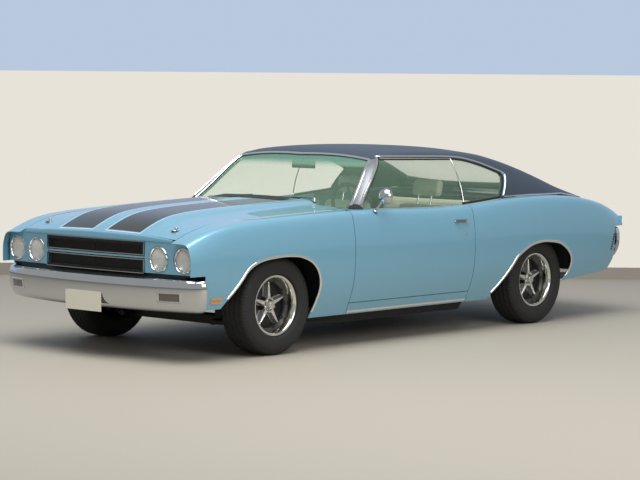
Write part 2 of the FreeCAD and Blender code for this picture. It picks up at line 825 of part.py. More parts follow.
def net_faces_in(rows, end_sign):
    """Whether the net's outward side points to the middle of the car."""
    i, j = len(rows) // 2, len(rows[0]) // 2
    along = rows[i + 1][j].sub(rows[i - 1][j])
    across = rows[i][j + 1].sub(rows[i][j - 1])
    return along.cross(across).y * end_sign < 0


def bumper_arms(x, z, y_from, y_to):
    low_y, high_y = sorted((y_from, y_to))
    arms = []
    for s in (-1, 1):
        arms.append(block(
            s * x - arm_wide / 2, s * x + arm_wide / 2, low_y, high_y,
            z - arm_tall / 2, z + arm_tall / 2,
        ))
    return arms


front_section = [(place(d, bumper_deep), place(up, height)) for d, up in front_section_shares]
rear_section = [(place(d, bumper_deep), place(up, height)) for d, up in rear_section_shares]
front_bumper = bumper(front_plan_shares, front_section, -1)
front_arms = bumper_arms(
    rail_front_x, rail_front_z, -rail_end_y - seat_gap, -half_length + front_arm_end
)
save("front_bumper", joined([front_bumper] + front_arms))
rear_bumper = bumper(rear_plan_shares, rear_section, 1)
tail_lamp_x_shares = [0.43864, 0.83551]
tail_lamp_z_shares = [0.38548, 0.47904]
tail_lamp_x = places(tail_lamp_x_shares, half_width)
tail_lamp_z = places(tail_lamp_z_shares, height)
rear_arm_z = rail_rear_z + rail_tall / 2 + seat_gap + arm_tall / 2
rear_arms = bumper_arms(
    rail_rear_x, rear_arm_z, rail_end_y - rear_arm_lap, half_length - rear_arm_end
)
rear_bumper = joined([rear_bumper] + rear_arms)
for side in (-1, 1):
    low, high = handed(side, tail_lamp_x[0], tail_lamp_x[1])
    rear_bumper = rear_bumper.cut(
        block(low, high, rear_axle_y, length, tail_lamp_z[0], tail_lamp_z[1])
    )
save("rear_bumper", rear_bumper)
lens_set_in = 2.0
lens_layer = bumper(rear_plan_shares, [(d - lens_set_in, z) for d, z in rear_section], 1)
lenses = []
for side in (-1, 1):
    low, high = handed(side, tail_lamp_x[0] + seat_gap, tail_lamp_x[1] - seat_gap)
    window = block(
        low, high, rear_axle_y, length, tail_lamp_z[0] + seat_gap, tail_lamp_z[1] - seat_gap
    )
    lenses += lens_layer.common(window).Solids
save("tail_lamps", Part.makeCompound(lenses))

tail_panel_z_shares = [0.51871, 0.57485]
tail_panel_low_z, tail_panel_top_z = places(tail_panel_z_shares, height)
tail_y_share = 0.95348
tail_y = place(tail_y_share, half_length)
tail_sweep = 34.0
tail_lean_share = 0.1


def tail_panel():
    rows = []
    for z in (tail_panel_top_z, (tail_panel_low_z + tail_panel_top_z) / 2, tail_panel_low_z):
        lean = (tail_panel_top_z - z) * tail_lean_share
        rows.append([
            V(u * half_width, tail_y - tail_sweep * u * u - lean, z) for u in nose_x_shares
        ])
    panel = thick_net(rows, sheet_gauge * 2)
    return largest(panel.cut([quarter, mirrored(quarter)]))


save("tail_panel", tail_panel())

# Side marker lamps
marker_front_shares = [(-0.843, 0.30), (-0.818, 0.30), (-0.812, 0.335), (-0.837, 0.335)]
marker_rear_shares = [(0.868, 0.378), (0.879, 0.378), (0.894, 0.482), (0.883, 0.482)]
marker_skin = thick_net(inset_net(side_rows, -sheet_gauge), sheet_gauge - seat_gap)
markers = []
for shares in (marker_front_shares, marker_rear_shares):
    piece = marker_skin.common(prism_x(outline_of(shares), trim_x, width))
    markers += [piece, mirrored(piece)]
save("marker_lamps", Part.makeCompound([s for m in markers for s in m.Solids]))


# Levels of the floor, which the running gear stays under
floor_level_shares = [0.18563, 0.30314, 0.37799]
floor_z, tunnel_top_z, rear_floor_z = places(floor_level_shares, height)
floor_gauge = 5.0
tunnel_half = 130.0
floor_half = trim_x - seat_gap
floor_station_shares = [-0.31943, 0.2236, 0.91835]
floor_front_y, riser_y, floor_rear_y = places(floor_station_shares, half_length)
trunk_half_share = 0.61619
trunk_half = place(trunk_half_share, half_width)

# Frame, engine and running gear
# The rails' stations: along, across and up, as shares of half the length, half the width and
# the height; the third carries the towers over the front axle
rail_station_shares = [
    (-0.93033, 0.40731, 0.32186), (-0.75863, 0.40731, 0.30689), (-0.62368, 0.40209, 0.29566),
    (-0.47914, 0.41253, 0.25449), (-0.35935, 0.56397, 0.14671), (-0.25554, 0.66841, 0.14222),
    (0.23558, 0.66841, 0.14222), (0.32741, 0.58486, 0.23204), (0.40727, 0.50131, 0.32934),
    (0.61889, 0.50131, 0.32934), (0.75863, 0.50131, 0.30689), (0.87842, 0.50131, 0.28443),
    (0.93033, 0.50131, 0.28443),
]
rail_points = []
for station, across, up in rail_station_shares:
    rail_points.append((place(station, half_length), place(across, half_width), place(up, height)))
cross_shares = [-0.89838, -0.1677, 0.2795, 0.89838]
front_cross_y, gearbox_cross_y, rear_cross_y, tail_cross_y = places(cross_shares, half_length)


def rail(side):
    sections = []
    for y, x, z in rail_points:
        low_x, high_x = side * x - rail_wide / 2, side * x + rail_wide / 2
        corners = [
            V(low_x, y, z - rail_tall / 2), V(high_x, y, z - rail_tall / 2),
            V(high_x, y, z + rail_tall / 2), V(low_x, y, z + rail_tall / 2),
        ]
        sections.append(Part.makePolygon(corners + [corners[0]]))
    return Part.makeLoft(sections, True, True)


def rail_at(y):
    for (y0, x0, z0), (y1, x1, z1) in zip(rail_points, rail_points[1:]):
        if y <= y1:
            t = (y - y0) / (y1 - y0)
            return x0 + (x1 - x0) * t, z0 + (z1 - z0) * t
    return rail_points[-1][1:]


lower_arm_below = 128.0
upper_arm_above = 134.0
tower_above = 172.0
lower_arm_z = axle_z - lower_arm_below
upper_arm_z = axle_z + upper_arm_above
tower_top_z = axle_z + tower_above
cross_tall = 60.0
cross_half = 30.0
tower_half = 60.0
kingpin_in = 72.0
kingpin_x = track / 2 - kingpin_in
spring_x = 520.0
spring_radius = 44.0
spring_seat_tall = 14.0
arm_pivot_radius = 20.0
arm_gauge = 22.0
arm_bar = 34.0
lower_arm_reach = 170.0
upper_arm_reach = 132.0
link_x, link_y, link_z = 520.0, 800.0, 228.0
link_wide = 40.0
hanger_gauge = 12.0
shaft_z = 300.0
gearbox_radius = 88.0
pad_half = 60.0
rear_cross_low = 46.0
rear_cross_high = 12.0


def axle_cross(y, x):
    """The cross member under the engine, with the towers that carry the arms and springs."""
    low = lower_arm_z - cross_half
    pieces = [block(-x, x, y - tower_half, y + tower_half, low, low + cross_tall)]
    for s in (-1, 1):
        inner, outer = handed(s, x - rail_wide / 2, x + rail_wide / 2)
        pieces.append(block(inner, outer, y - tower_half, y + tower_half, low, tower_top_z))
        seat_in, seat_out = handed(s, x, spring_x + spring_radius)
        pieces.append(block(
            seat_in, seat_out, y - spring_radius, y + spring_radius,
            tower_top_z - spring_seat_tall, tower_top_z,
        ))
    return pieces


def cross_bar(y):
    """A cross member level with the undersides of the rails."""
    x, z = rail_at(y)
    low = z - rail_tall / 2
    return block(-x, x, y - cross_half, y + cross_half, low, low + cross_tall)


def frame():
    """Two rails, their cross members, the engine towers and the hangers of the rear links."""
    tower_y, tower_x = rail_points[2][:2]
    pieces = [rail(1), rail(-1), cross_bar(front_cross_y)] + axle_cross(tower_y, tower_x)
    pad_y, pad_z = gearbox_cross_y, rail_at(gearbox_cross_y)[1]
    pieces += [cross_bar(pad_y), block(
        -pad_half, pad_half, pad_y - cross_half, pad_y + cross_half, pad_z - rail_tall / 2,
        shaft_z - gearbox_radius - seat_gap,
    )]
    x, z = rail_at(rear_cross_y)
    pieces.append(block(
        -x, x, rear_cross_y - cross_half, rear_cross_y + cross_half,
        z - rear_cross_low, z - rear_cross_high,
    ))
    for s in (-1, 1):
        beside = link_x + link_wide / 2 + seat_gap
        inner, outer = handed(s, beside, beside + hanger_gauge)
        pieces.append(block(
            inner, outer, link_y - link_wide / 2, link_y + link_wide / 2,
            link_z - link_wide / 2, rail_at(link_y)[1],
        ))
    return joined(pieces + [cross_bar(tail_cross_y)])


chassis = frame()
save("frame", chassis)
engine_half = 255.0
engine_ends = (-1900.0, -1180.0)
engine_levels = (268.0, 770.0)
intake_half = 170.0
intake_ends = (-1840.0, -1300.0)
intake_tall = 80.0
engine_block = block(-engine_half, engine_half, *engine_ends, *engine_levels)
intake = block(
    -intake_half, intake_half, *intake_ends, engine_levels[1], engine_levels[1] + intake_tall
)
save("engine", engine_block.fuse(intake))
gearbox_tail = 35.0
shaft_radius = 38.0
shaft_end_y = 1140.0
gearbox_end = V(0, gearbox_cross_y + gearbox_tail, shaft_z)
gearbox = rod(V(0, engine_ends[1] + seat_gap, shaft_z), gearbox_end, gearbox_radius)
save("driveline", gearbox.fuse(rod(gearbox_end, V(0, shaft_end_y, axle_z), shaft_radius)))
drum_radius = 140.0
drum_in = (90.0, 46.0)
drum_x = [track / 2 - inward for inward in drum_in]
axle_tube = 40.0
final_drive_half = 90.0
final_drive_radius = 128.0
spindle_radius = 17.0
spindle_out = 13.0
spindle_end_x = track / 2 + spindle_out
link_axle_x = 420.0
link_axle_z = 272.0
rear_spring_x = 395.0
rear_spring_radius = 44.0


def rear_axle():
    """The axle tube with its final drive, drums, spindles, trailing links and springs."""
    y = rear_axle_y
    pieces = [rod(V(-drum_x[1], y, axle_z), V(drum_x[1], y, axle_z), axle_tube)]
    middle = (V(-final_drive_half, y, axle_z), V(final_drive_half, y, axle_z))
    pieces.append(rod(middle[0], middle[1], final_drive_radius))
    for s in (-1, 1):
        drum_face = V(s * drum_x[1], y, axle_z)
        pieces.append(rod(V(s * drum_x[0], y, axle_z), drum_face, drum_radius))
        pieces.append(rod(drum_face, V(s * spindle_end_x, y, axle_z), spindle_radius))
        link_start = V(s * link_axle_x, y, link_axle_z)
        pieces.append(bar(link_start, V(s * link_x, link_y, link_z), link_wide, link_wide))
        spring_foot = V(s * rear_spring_x, y, axle_z)
        spring_head = V(s * rear_spring_x, y, rear_floor_z - seat_gap)
        pieces.append(rod(spring_foot, spring_head, rear_spring_radius))
    return joined(pieces)


save("rear_axle", rear_axle())
spring_pan_half = 110.0
spring_pan_gauge = 16.0


def control_arms(side):
    """The two arms and the spring of one front wheel, out to the ball joints."""
    pivot_x = rail_at(front_axle_y)[0] + rail_wide / 2 + arm_pivot_radius + seat_gap
    arms = []
    for z, reach in ((lower_arm_z, lower_arm_reach), (upper_arm_z, upper_arm_reach)):
        ends = [V(side * pivot_x, front_axle_y + along * reach, z) for along in (-1, 1)]
        joint = V(side * kingpin_x, front_axle_y, z)
        pieces = [bar(end, joint, arm_bar, arm_gauge) for end in ends]
        pieces.append(rod(joint - V(0, 0, arm_gauge / 2), joint + V(0, 0, arm_gauge / 2), arm_pivot_radius))
        pieces.append(rod(ends[0], ends[1], arm_pivot_radius))
        arms.append(pieces)
    pan_in, pan_out = handed(side, spring_x - spring_radius, spring_x + spring_radius)
    arms[0].append(block(
        pan_in, pan_out, front_axle_y - spring_pan_half, front_axle_y + spring_pan_half,
        lower_arm_z - spring_pan_gauge / 2, lower_arm_z + spring_pan_gauge / 2,
    ))
    spring_foot = V(side * spring_x, front_axle_y, lower_arm_z)
    spring_head = V(side * spring_x, front_axle_y, tower_top_z - spring_seat_tall - seat_gap)
    arms[0].append(rod(spring_foot, spring_head, spring_radius - 2 * seat_gap))
    return [joined(pieces) for pieces in arms]


save("control_arms", Part.makeCompound(control_arms(1) + control_arms(-1)))
brake_offset = 26.0
brake_gauge = 12.0


def knuckle(side):
    """The upright that turns about the kingpin line, with its spindle and brake plate."""
    low = lower_arm_z + arm_gauge / 2 + seat_gap
    top = upper_arm_z - arm_gauge / 2 - seat_gap
    centre = V(side * kingpin_x, front_axle_y, axle_z)
    upright_low = V(side * kingpin_x, front_axle_y, low)
    pieces = [rod(upright_low, V(side * kingpin_x, front_axle_y, top), arm_pivot_radius)]
    pieces.append(rod(centre, V(side * spindle_end_x, front_axle_y, axle_z), spindle_radius))
    plate_in = centre + V(side * brake_offset, 0, 0)
    plate_out = centre + V(side * (brake_offset + brake_gauge), 0, 0)
    pieces.append(rod(plate_in, plate_out, drum_radius))
    return joined(pieces)


save("knuckle_left", knuckle(1))
save("knuckle_right", knuckle(-1))
tank_half = 350.0
tank_end_shares = [0.70274, 0.88241]
tank_front_y, tank_rear_y = places(tank_end_shares, half_length)
tank_low_share = 0.21332
tank_round = 30.0
along_x_share = 0.9
tank = block(
    -tank_half, tank_half, tank_front_y, tank_rear_y, place(tank_low_share, height),
    rear_floor_z - seat_gap,
)
tank_edges = [e for e in tank.Edges if abs(e.tangentAt(e.FirstParameter).x) > along_x_share]
tank = tank.makeFillet(tank_round, tank_edges)
save("fuel_tank", tank)
# The pipe's stations: across, along and up, as shares like those of the rails
pipe_station_shares = [
    (0.22454, -0.4472, 0.1759), (0.24543, -0.30345, 0.14222), (0.34465, 0.13176, 0.14222),
    (0.34465, 0.15173, 0.14222), (0.34465, 0.3314, 0.1497), (0.32585, 0.43122, 0.31811),
    (0.32585, 0.56698, 0.31811), (0.41253, 0.67878, 0.22455), (0.41775, 0.95029, 0.2021),
]
pipe_radius = 26.0
muffler_x_share = 0.34465
muffler_half = 95.0
muffler_long = 280.0
muffler_half_tall = 48.0


def exhaust(side):
    """A round pipe through its stations, with a muffler where it runs level under the floor."""
    points = []
    for across, station, up in pipe_station_shares:
        x, y, z = place(across, half_width), place(station, half_length), place(up, height)
        points.append(V(side * x, y, z))
    pieces = [rod(a, b, pipe_radius) for a, b in zip(points, points[1:])]
    pieces += [Part.makeSphere(pipe_radius, p) for p in points[1:-1]]
    start = points[3]
    pieces.append(block(
        start.x - muffler_half, start.x + muffler_half, start.y, start.y + muffler_long,
        start.z - muffler_half_tall, start.z + muffler_half_tall,
    ))
    return pieces


pipes = [joined(exhaust(s)).cut(chassis) for s in (-1, 1)]
save("exhaust", Part.makeCompound([s for p in pipes for s in p.Solids]))

# Floor, firewall and inner fenders
tunnel_waist_share = 0.8
tunnel_outer_share = 1.045
riser_run = 90.0
riser_tall = 150.0
tunnel_cut_ahead = 10.0
tunnel_cut_behind = 200.0
tunnel_cut_below = 40.0


def floor_pan():
    waist = tunnel_half * tunnel_waist_share
    outer = [
        (-floor_half, floor_z), (-tunnel_half, floor_z), (-waist, tunnel_top_z),
        (waist, tunnel_top_z), (tunnel_half, floor_z), (floor_half, floor_z),
    ]
    outline = list(outer)
    for x, z in reversed(outer):
        spread = x if abs(x) > tunnel_half else x * tunnel_outer_share
        outline.append((spread, z + floor_gauge))
    front = prism_y(outline, floor_front_y, riser_y)
    side_line = [
        (riser_y, floor_z), (riser_y + riser_run, rear_floor_z), (floor_rear_y, rear_floor_z),
        (floor_rear_y, rear_floor_z + floor_gauge),
        (riser_y + riser_run - floor_gauge, rear_floor_z + floor_gauge),
        (riser_y - floor_gauge, floor_z + floor_gauge),
    ]
    rear = prism_x(side_line, -trunk_half, trunk_half)
    step = block(-floor_half, floor_half, riser_y - floor_gauge, riser_y, floor_z, floor_z + riser_tall)
    tunnel_cut = block(
        -waist, waist, riser_y - tunnel_cut_ahead, riser_y + tunnel_cut_behind, low_z,
        tunnel_top_z - tunnel_cut_below,
    )
    return joined([front, rear.cut(tunnel_cut), step.cut(tunnel_cut)])


save("floor_pan", floor_pan())
cowl_level_shares = [0.63323, 0.69237]
cowl_top_z, cowl_lip_z = places(cowl_level_shares, height)
cowl_step_shares = [-0.29746, -0.2795, -0.28189, -0.29946]
cowl_steps = places(cowl_step_shares, half_length)
bracket_low = 110.0
bracket_foot = 150.0
bracket_rise = 75.0


def hood_bracket(side, wall_y):
    """A plate on the firewall with the pin of one hood hinge."""
    y, z, r = hood_axis_y, hood_axis_z, lid_eye_radius
    line = [
        (y - r, z), (y - r, z - bracket_low), (wall_y, z - bracket_foot), (wall_y, z - bracket_low),
        (y + r, z - bracket_rise), (y + r, z),
    ]
    beside = lid_hinge_x + lid_eye_wide / 2 + seat_gap
    low, high = handed(side, beside, lid_hinge_x + lid_eye_wide)
    plate = prism_x(line, low, high)
    boss = rod(V(low, y, z), V(high, y, z), r)
    pin_start = V(side * (lid_hinge_x - lid_eye_wide / 2), y, z)
    pin = rod(pin_start, V(side * (lid_hinge_x + lid_eye_wide), y, z), lid_pin_radius)
    return joined([plate, boss, pin])


def door_hinges(side):
    """The straps and pins on one pillar that carry a door."""
    pieces = []
    low_x, high_x = handed(side, pillar_x[1] - floor_gauge, hinge_x)
    for z in hinge_heights:
        for plate_z in (z - strap_thick - seat_gap, z + hinge_eye_tall + seat_gap):
            pieces.append(block(
                low_x, high_x, hinge_y - hinge_eye_radius, hinge_y + hinge_eye_radius,
                plate_z, plate_z + strap_thick,
            ))
            eye_low = V(side * hinge_x, hinge_y, plate_z)
            pieces.append(Part.makeCylinder(hinge_eye_radius, strap_thick, eye_low))
        pin_low = V(side * hinge_x, hinge_y, z - strap_thick - seat_gap)
        pin_tall = hinge_eye_tall + 2 * strap_thick
        pieces.append(Part.makeCylinder(hinge_pin_radius, pin_tall, pin_low))
    return pieces


def cowl():
    """The firewall, the trough under the windshield and the pillars that carry the doors."""
    g = floor_gauge
    y = floor_front_y - g
    wall_y = y + g - seat_gap
    trough_rear, lip_rear, lip_front, trough_front = cowl_steps
    line = [
        (y, floor_z), (wall_y, floor_z), (wall_y, cowl_top_z), (trough_rear, cowl_top_z),
        (lip_rear, cowl_lip_z), (lip_front, cowl_lip_z + g), (trough_front, cowl_top_z + g),
        (y, cowl_top_z + g),
    ]
    pieces = [prism_x(line, -pillar_x[0] - gap, pillar_x[0] + gap)]
    for s in (-1, 1):
        inner, outer = handed(s, pillar_x[0], pillar_x[1])
        pieces.append(block(inner, outer, pillar_front_y, wall_y, floor_z, cowl_top_z + g))
        pieces += door_hinges(s)
        post_in, post_out = handed(s, hood_seam_x + 2 * gap, pillar_x[1])
        post = block(post_in, post_out, pillar_front_y, wall_y, cowl_top_z, cowl_lip_z + cut_over)
        skin = fender if s > 0 else mirrored(fender)
        pieces.append(min(post.cut(skin).Solids, key=lambda solid: solid.BoundBox.ZMin))
        pieces.append(hood_bracket(s, y))
    shape = joined(pieces)
    return shape.cut(block(-tunnel_half, tunnel_half, y - g, y + 2 * g, low_z, tunnel_top_z))


save("cowl", cowl())
front_liner_share = 1.17
liner_outer_share = 1.183
liner_x_shares = [0.47624, 0.91739]
liner_x = places(liner_x_shares, half_width)
rear_liner_radius = 398.0
rear_liner_x_shares = [0.62663, 0.95561]
rear_liner_x = places(rear_liner_x_shares, half_width)
liner_front_share = -0.9
liner_rear_share = -0.36135
front_liner_above = 30.0
rear_liner_above = 60.0
arm_window_half = 190.0
arm_window_over = 20.0


def front_liner(side):
    """The inner fender over a front wheel, open where the arms and the tower pass."""
    x_low, x_high = liner_x
    front_y, rear_y = liner_front_share * half_length, place(liner_rear_share, half_length)
    over = arch_cutter(front_arch_shares, front_axle_y, x_low, x_high, liner_outer_share)
    hollow = arch_cutter(
        front_arch_shares, front_axle_y, x_low + sheet_gauge, x_high + gap, front_liner_share
    )
    above = block(x_low, x_high, front_y, rear_y, axle_z + front_liner_above, height)
    arm_window = block(
        x_low - gap, x_low + sheet_gauge + gap, front_axle_y - arm_window_half,
        front_axle_y + arm_window_half, low_z, tower_top_z + arm_window_over,
    )
    shape = over.cut(hollow).common(above).cut(arm_window)
    return shape if side > 0 else mirrored(shape)


def rear_liner(side):
    """The round wheelhouse over a rear wheel."""
    x_low, x_high = rear_liner_x
    y, z = rear_axle_y, axle_z
    over = rod(V(x_low, y, z), V(x_high, y, z), rear_liner_radius + sheet_gauge)
    hollow = rod(V(x_low + sheet_gauge, y, z), V(x_high + gap, y, z), rear_liner_radius)
    above = block(x_low, x_high, 0, half_length, z + rear_liner_above, height)
    shape = over.cut(hollow).common(above)
    return shape if side > 0 else mirrored(shape)


liners = []
for s in (1, -1):
    liners += front_liner(s).Solids + rear_liner(s).Solids
save("wheelhouses", Part.makeCompound(liners))
radiator_half = 440.0
radiator_end_shares = [-0.91515, -0.8912]
radiator_front_y, radiator_rear_y = places(radiator_end_shares, half_length)
radiator_z_shares = [0.35674, 0.58383]
radiator_low_z, radiator_top_z = places(radiator_z_shares, height)
core_half = 300.0
core_deep = 22.0
core_margins = (33.4, 20.0)
radiator = block(
    -radiator_half, radiator_half, radiator_front_y, radiator_rear_y, radiator_low_z, radiator_top_z
)
core = block(
    -core_half, core_half, radiator_front_y, radiator_front_y + core_deep,
    radiator_low_z + core_margins[0], radiator_top_z - core_margins[1],
)
save("radiator", radiator.cut(core))


# Cabin
dash_shares = [
    (-0.27938, 0.69259), (-0.2236, 0.68488), (-0.18766, 0.66317), (-0.17568, 0.62874),
    (-0.18766, 0.56886), (-0.20763, 0.47904), (-0.27938, 0.47904),
]
dash_side_gap = 12.0
dash_half = trim_x - dash_side_gap
dash = prism_x(points_of(dash_shares), -dash_half, dash_half)
save("dashboard", dash)
driver_x_share = 0.38642
driver_x = place(driver_x_share, half_width)
column_place_shares = [(-0.18766, 0.5988), (-0.09383, 0.66766)]
column_low, wheel_centre = [V(driver_x, y, z) for y, z in points_of(column_place_shares)]
column_axis = wheel_centre.sub(column_low)
column_axis.normalize()
column_radius = 28.0
wheel_radius = 190.0
wheel_grip = 14.0
hub_radius = 45.0
hub_behind = 40.0
hub_ahead = 8.0
arm_radius = 9.0
arm_behind = 10.0
quarter_turn = 90


def steering_wheel():
    """The rim, the hub and three arms, one of them pointing down."""
    ring = Part.makeTorus(wheel_radius, wheel_grip, wheel_centre, column_axis)
    hub_start = wheel_centre - column_axis * hub_behind
    hub = rod(hub_start, wheel_centre + column_axis * hub_ahead, hub_radius)
    across = V(1, 0, 0)
    down = across.cross(column_axis)
    pieces = [ring, hub]
    for k in (0, 2, 1):
        angle = math.radians(quarter_turn * k)
        way = across * math.cos(angle) + down * math.sin(angle)
        start = wheel_centre - column_axis * arm_behind
        pieces.append(rod(start, wheel_centre + way * wheel_radius, arm_radius))
    return joined(pieces)


save("steering_wheel", steering_wheel())
column_top = wheel_centre - column_axis * (hub_behind + seat_gap)
save("steering_column", rod(column_low, column_top, column_radius).cut(dash).Solids[-1])


def rounded_block(x_low, x_high, y_low, y_high, z_low, z_high, radius):
    shape = block(x_low, x_high, y_low, y_high, z_low, z_high)
    return shape.makeFillet(radius, shape.Edges)


def leaning(half, thick, tall, radius, degrees, y, z):
    """A rounded upright cushion, leant back about its lower front edge and set in its place."""
    shape = rounded_block(-half, half, 0, thick, 0, tall, radius)
    shape.rotate(V(0, 0, 0), V(1, 0, 0), -degrees)
    shape.translate(V(0, y, z))
    return shape


seat_half = 236.0
seat_place_shares = [(-0.04392, 0.22455), (0.17169, 0.38174)]
seat_round = 50.0
back_half = 250.0
back_thick = 120.0
back_tall = 520.0
back_lean = 18
back_place_share = (0.14773, 0.32934)
rest_half = 140.0
rest_thick = 90.0
rest_tall = 150.0
rest_round = 40.0
rest_lean = 12
rest_place_share = (0.21362, 0.71482)
stalk_shares = [(0.2216, 0.67365), (0.22959, 0.74102)]
stalk_x = 60.0
stalk_radius = 6.0
base_half = 220.0
base_in = (50.0, 30.0)


def front_seat(side):
    """A bucket seat: cushion, leaning back, head rest on two stalks, and its base."""
    x = side * driver_x
    (front_y, low), (rear_y, top) = points_of(seat_place_shares)
    cushion = rounded_block(-seat_half, seat_half, front_y, rear_y, low, top, seat_round)
    back_y, back_z = points_of([back_place_share])[0]
    back = leaning(back_half, back_thick, back_tall, seat_round, back_lean, back_y, back_z)
    rest_y, rest_z = points_of([rest_place_share])[0]
    rest = leaning(rest_half, rest_thick, rest_tall, rest_round, rest_lean, rest_y, rest_z)
    foot, head = points_of(stalk_shares)
    stalks = [rod(V(d, *foot), V(d, *head), stalk_radius) for d in (-stalk_x, stalk_x)]
    base = block(
        -base_half, base_half, front_y + base_in[0], rear_y - base_in[1],
        floor_z + floor_gauge, low + base_in[1],
    )
    seat = joined([cushion, back, rest, base] + stalks)
    seat.translate(V(x, 0, 0))
    return seat


save("front_seats", Part.makeCompound([front_seat(1), front_seat(-1)]))
bench_end_shares = [0.2755, 0.45119]
bench_top_share = 0.4491
bench_round = 40.0
bench_back_thick = 110.0
bench_back_tall = 420.0
bench_back_round = 45.0
bench_lean = 22
bench_back_share = (0.41925, 0.40793)


def rear_seat():
    """The bench: its cushion on the raised floor and its leaning back."""
    front_y, rear_y = places(bench_end_shares, half_length)
    low, top = rear_floor_z + floor_gauge, place(bench_top_share, height)
    cushion = rounded_block(-trunk_half, trunk_half, front_y, rear_y, low, top, bench_round)
    y, z = points_of([bench_back_share])[0]
    back = leaning(
        trunk_half, bench_back_thick, bench_back_tall, bench_back_round, bench_lean, y, z
    )
    return joined([cushion, back])


save("rear_seat", rear_seat())
shelf_z_share = 0.69237
shelf_z = place(shelf_z_share, height)
shelf_gauge = 12.0
shelf_half_share = 0.62663
shelf_half = place(shelf_half_share, half_width)
shelf_end_shares = [0.51907, 0.62288]
shelf_front_y, shelf_rear_y = places(shelf_end_shares, half_length)
bulkhead_gauge = 6.0
shelf_arm_wide = 20.0
shelf_arm_low = 91.0
shelf_arm_high = 73.0


def parcel_shelf():
    """The shelf, the bulkhead behind the seat and the brackets of the trunk hinges."""
    shelf_low_z = shelf_z - shelf_gauge
    pieces = [block(-shelf_half, shelf_half, shelf_front_y, shelf_rear_y, shelf_low_z, shelf_z)]
    pieces.append(block(
        -trunk_half, trunk_half, shelf_front_y, shelf_front_y + bulkhead_gauge,
        rear_floor_z + floor_gauge, shelf_z,
    ))
    y, z, r = trunk_axis_y, trunk_axis_z, lid_eye_radius
    arm_low, arm_high = min(z - shelf_arm_low, shelf_low_z - seat_gap), z - shelf_arm_high
    line = [
        (y + r, z), (y + r, arm_low), (shelf_rear_y - shelf_arm_wide, arm_low),
        (shelf_rear_y - shelf_arm_wide, shelf_low_z), (shelf_rear_y, shelf_low_z),
        (shelf_rear_y, arm_high), (y - r, arm_high), (y - r, z),
    ]
    for s in (-1, 1):
        beside = lid_hinge_x + lid_eye_wide / 2 + seat_gap
        low, high = handed(s, beside, lid_hinge_x + lid_eye_wide)
        pieces.append(prism_x(line, low, high))
        pieces.append(rod(V(low, y, z), V(high, y, z), r))
        pin_start = V(s * (lid_hinge_x - lid_eye_wide / 2), y, z)
        pieces.append(rod(pin_start, V(s * (lid_hinge_x + lid_eye_wide), y, z), lid_pin_radius))
    return joined(pieces)


save("parcel_shelf", parcel_shelf())
mirror_half = 110.0
mirror_place_shares = [(-0.14853, 0.87949), (-0.14055, 0.92066)]
mirror_round = 8.0
mirror_stalk_shares = [(-0.14454, 0.91317), (-0.13775, 0.96183)]
mirror_stalk_radius = 6.0
(mirror_front_y, mirror_low_z), (mirror_rear_y, mirror_top_z) = points_of(mirror_place_shares)
mirror_glass = rounded_block(
    -mirror_half, mirror_half, mirror_front_y, mirror_rear_y, mirror_low_z, mirror_top_z, mirror_round
)
stalk_foot, stalk_head = points_of(mirror_stalk_shares)
mirror_stalk = rod(V(0, *stalk_foot), V(0, *stalk_head), mirror_stalk_radius)
save("cabin_mirror", mirror_glass.fuse(mirror_stalk).cut(roof))
mirror_x_shares = [0.94517, 0.99217]
door_mirror_shares = [(-0.25155, 0.67964), (-0.22959, 0.76123)]
mirror_post_radius = 9.0
mirror_head_radius = 58.0
mirror_head_ends = (22.0, 18.0)
mirror_head_round = 10.0


def door_mirror():
    """A round mirror on a slanting post that stands on the door's top."""
    base_x, head_x = places(mirror_x_shares, half_width)
    base_place, head_place = points_of(door_mirror_shares)
    base, centre = V(base_x, *base_place), V(head_x, *head_place)
    front, back = V(0, mirror_head_ends[0], 0), V(0, mirror_head_ends[1], 0)
    head = rod(centre - front, centre + back, mirror_head_radius)
    head = head.makeFillet(mirror_head_round, head.Edges[0])
    return rod(base, centre, mirror_post_radius).fuse(head).cut(door)


save("door_mirror", door_mirror().Solids[0])

# Wheels
rim_side_x = 90.0
lip_radius = 203.0
lip_tall = 12.0
lip_wide = 6.0
lip_run = 34.0
rim_well = 16.0
bead_gap = 0.3
tyre_wall_x = tyre_width / 2
shoulder_bevel = 14.0
tread_edge = 30.0
hub_face_in = 17.0
hub_out = 50.0
wheel_hub_radius = 74.0
spoke_count = 5
spoke_wide = 66.0
spoke_lap = 6.0
spoke_root = 50.0
spoke_bend = 120.0
spoke_back = (8.0, 30.0)
spoke_front = (50.0, 56.0)


def tyre(side, axle_y):
    """The carcass: a flat tread, bevelled shoulders and leaning walls down to the rim."""
    half = tyre_wall_x
    bore = lip_radius + bead_gap
    tread = tyre_radius
    bead_x = rim_side_x + lip_wide
    profile = [
        (-bead_x, bore), (-half, (bore + tread) / 2), (-half + shoulder_bevel, tread - shoulder_bevel),
        (-half + tread_edge, tread), (half - tread_edge, tread),
        (half - shoulder_bevel, tread - shoulder_bevel), (half, (bore + tread) / 2), (bead_x, bore),
    ]
    centre_x = side * track / 2
    face = polygon([V(centre_x + u, axle_y, axle_z + r) for u, r in profile])
    return face.revolve(V(centre_x, axle_y, axle_z), V(1, 0, 0), full_turn)


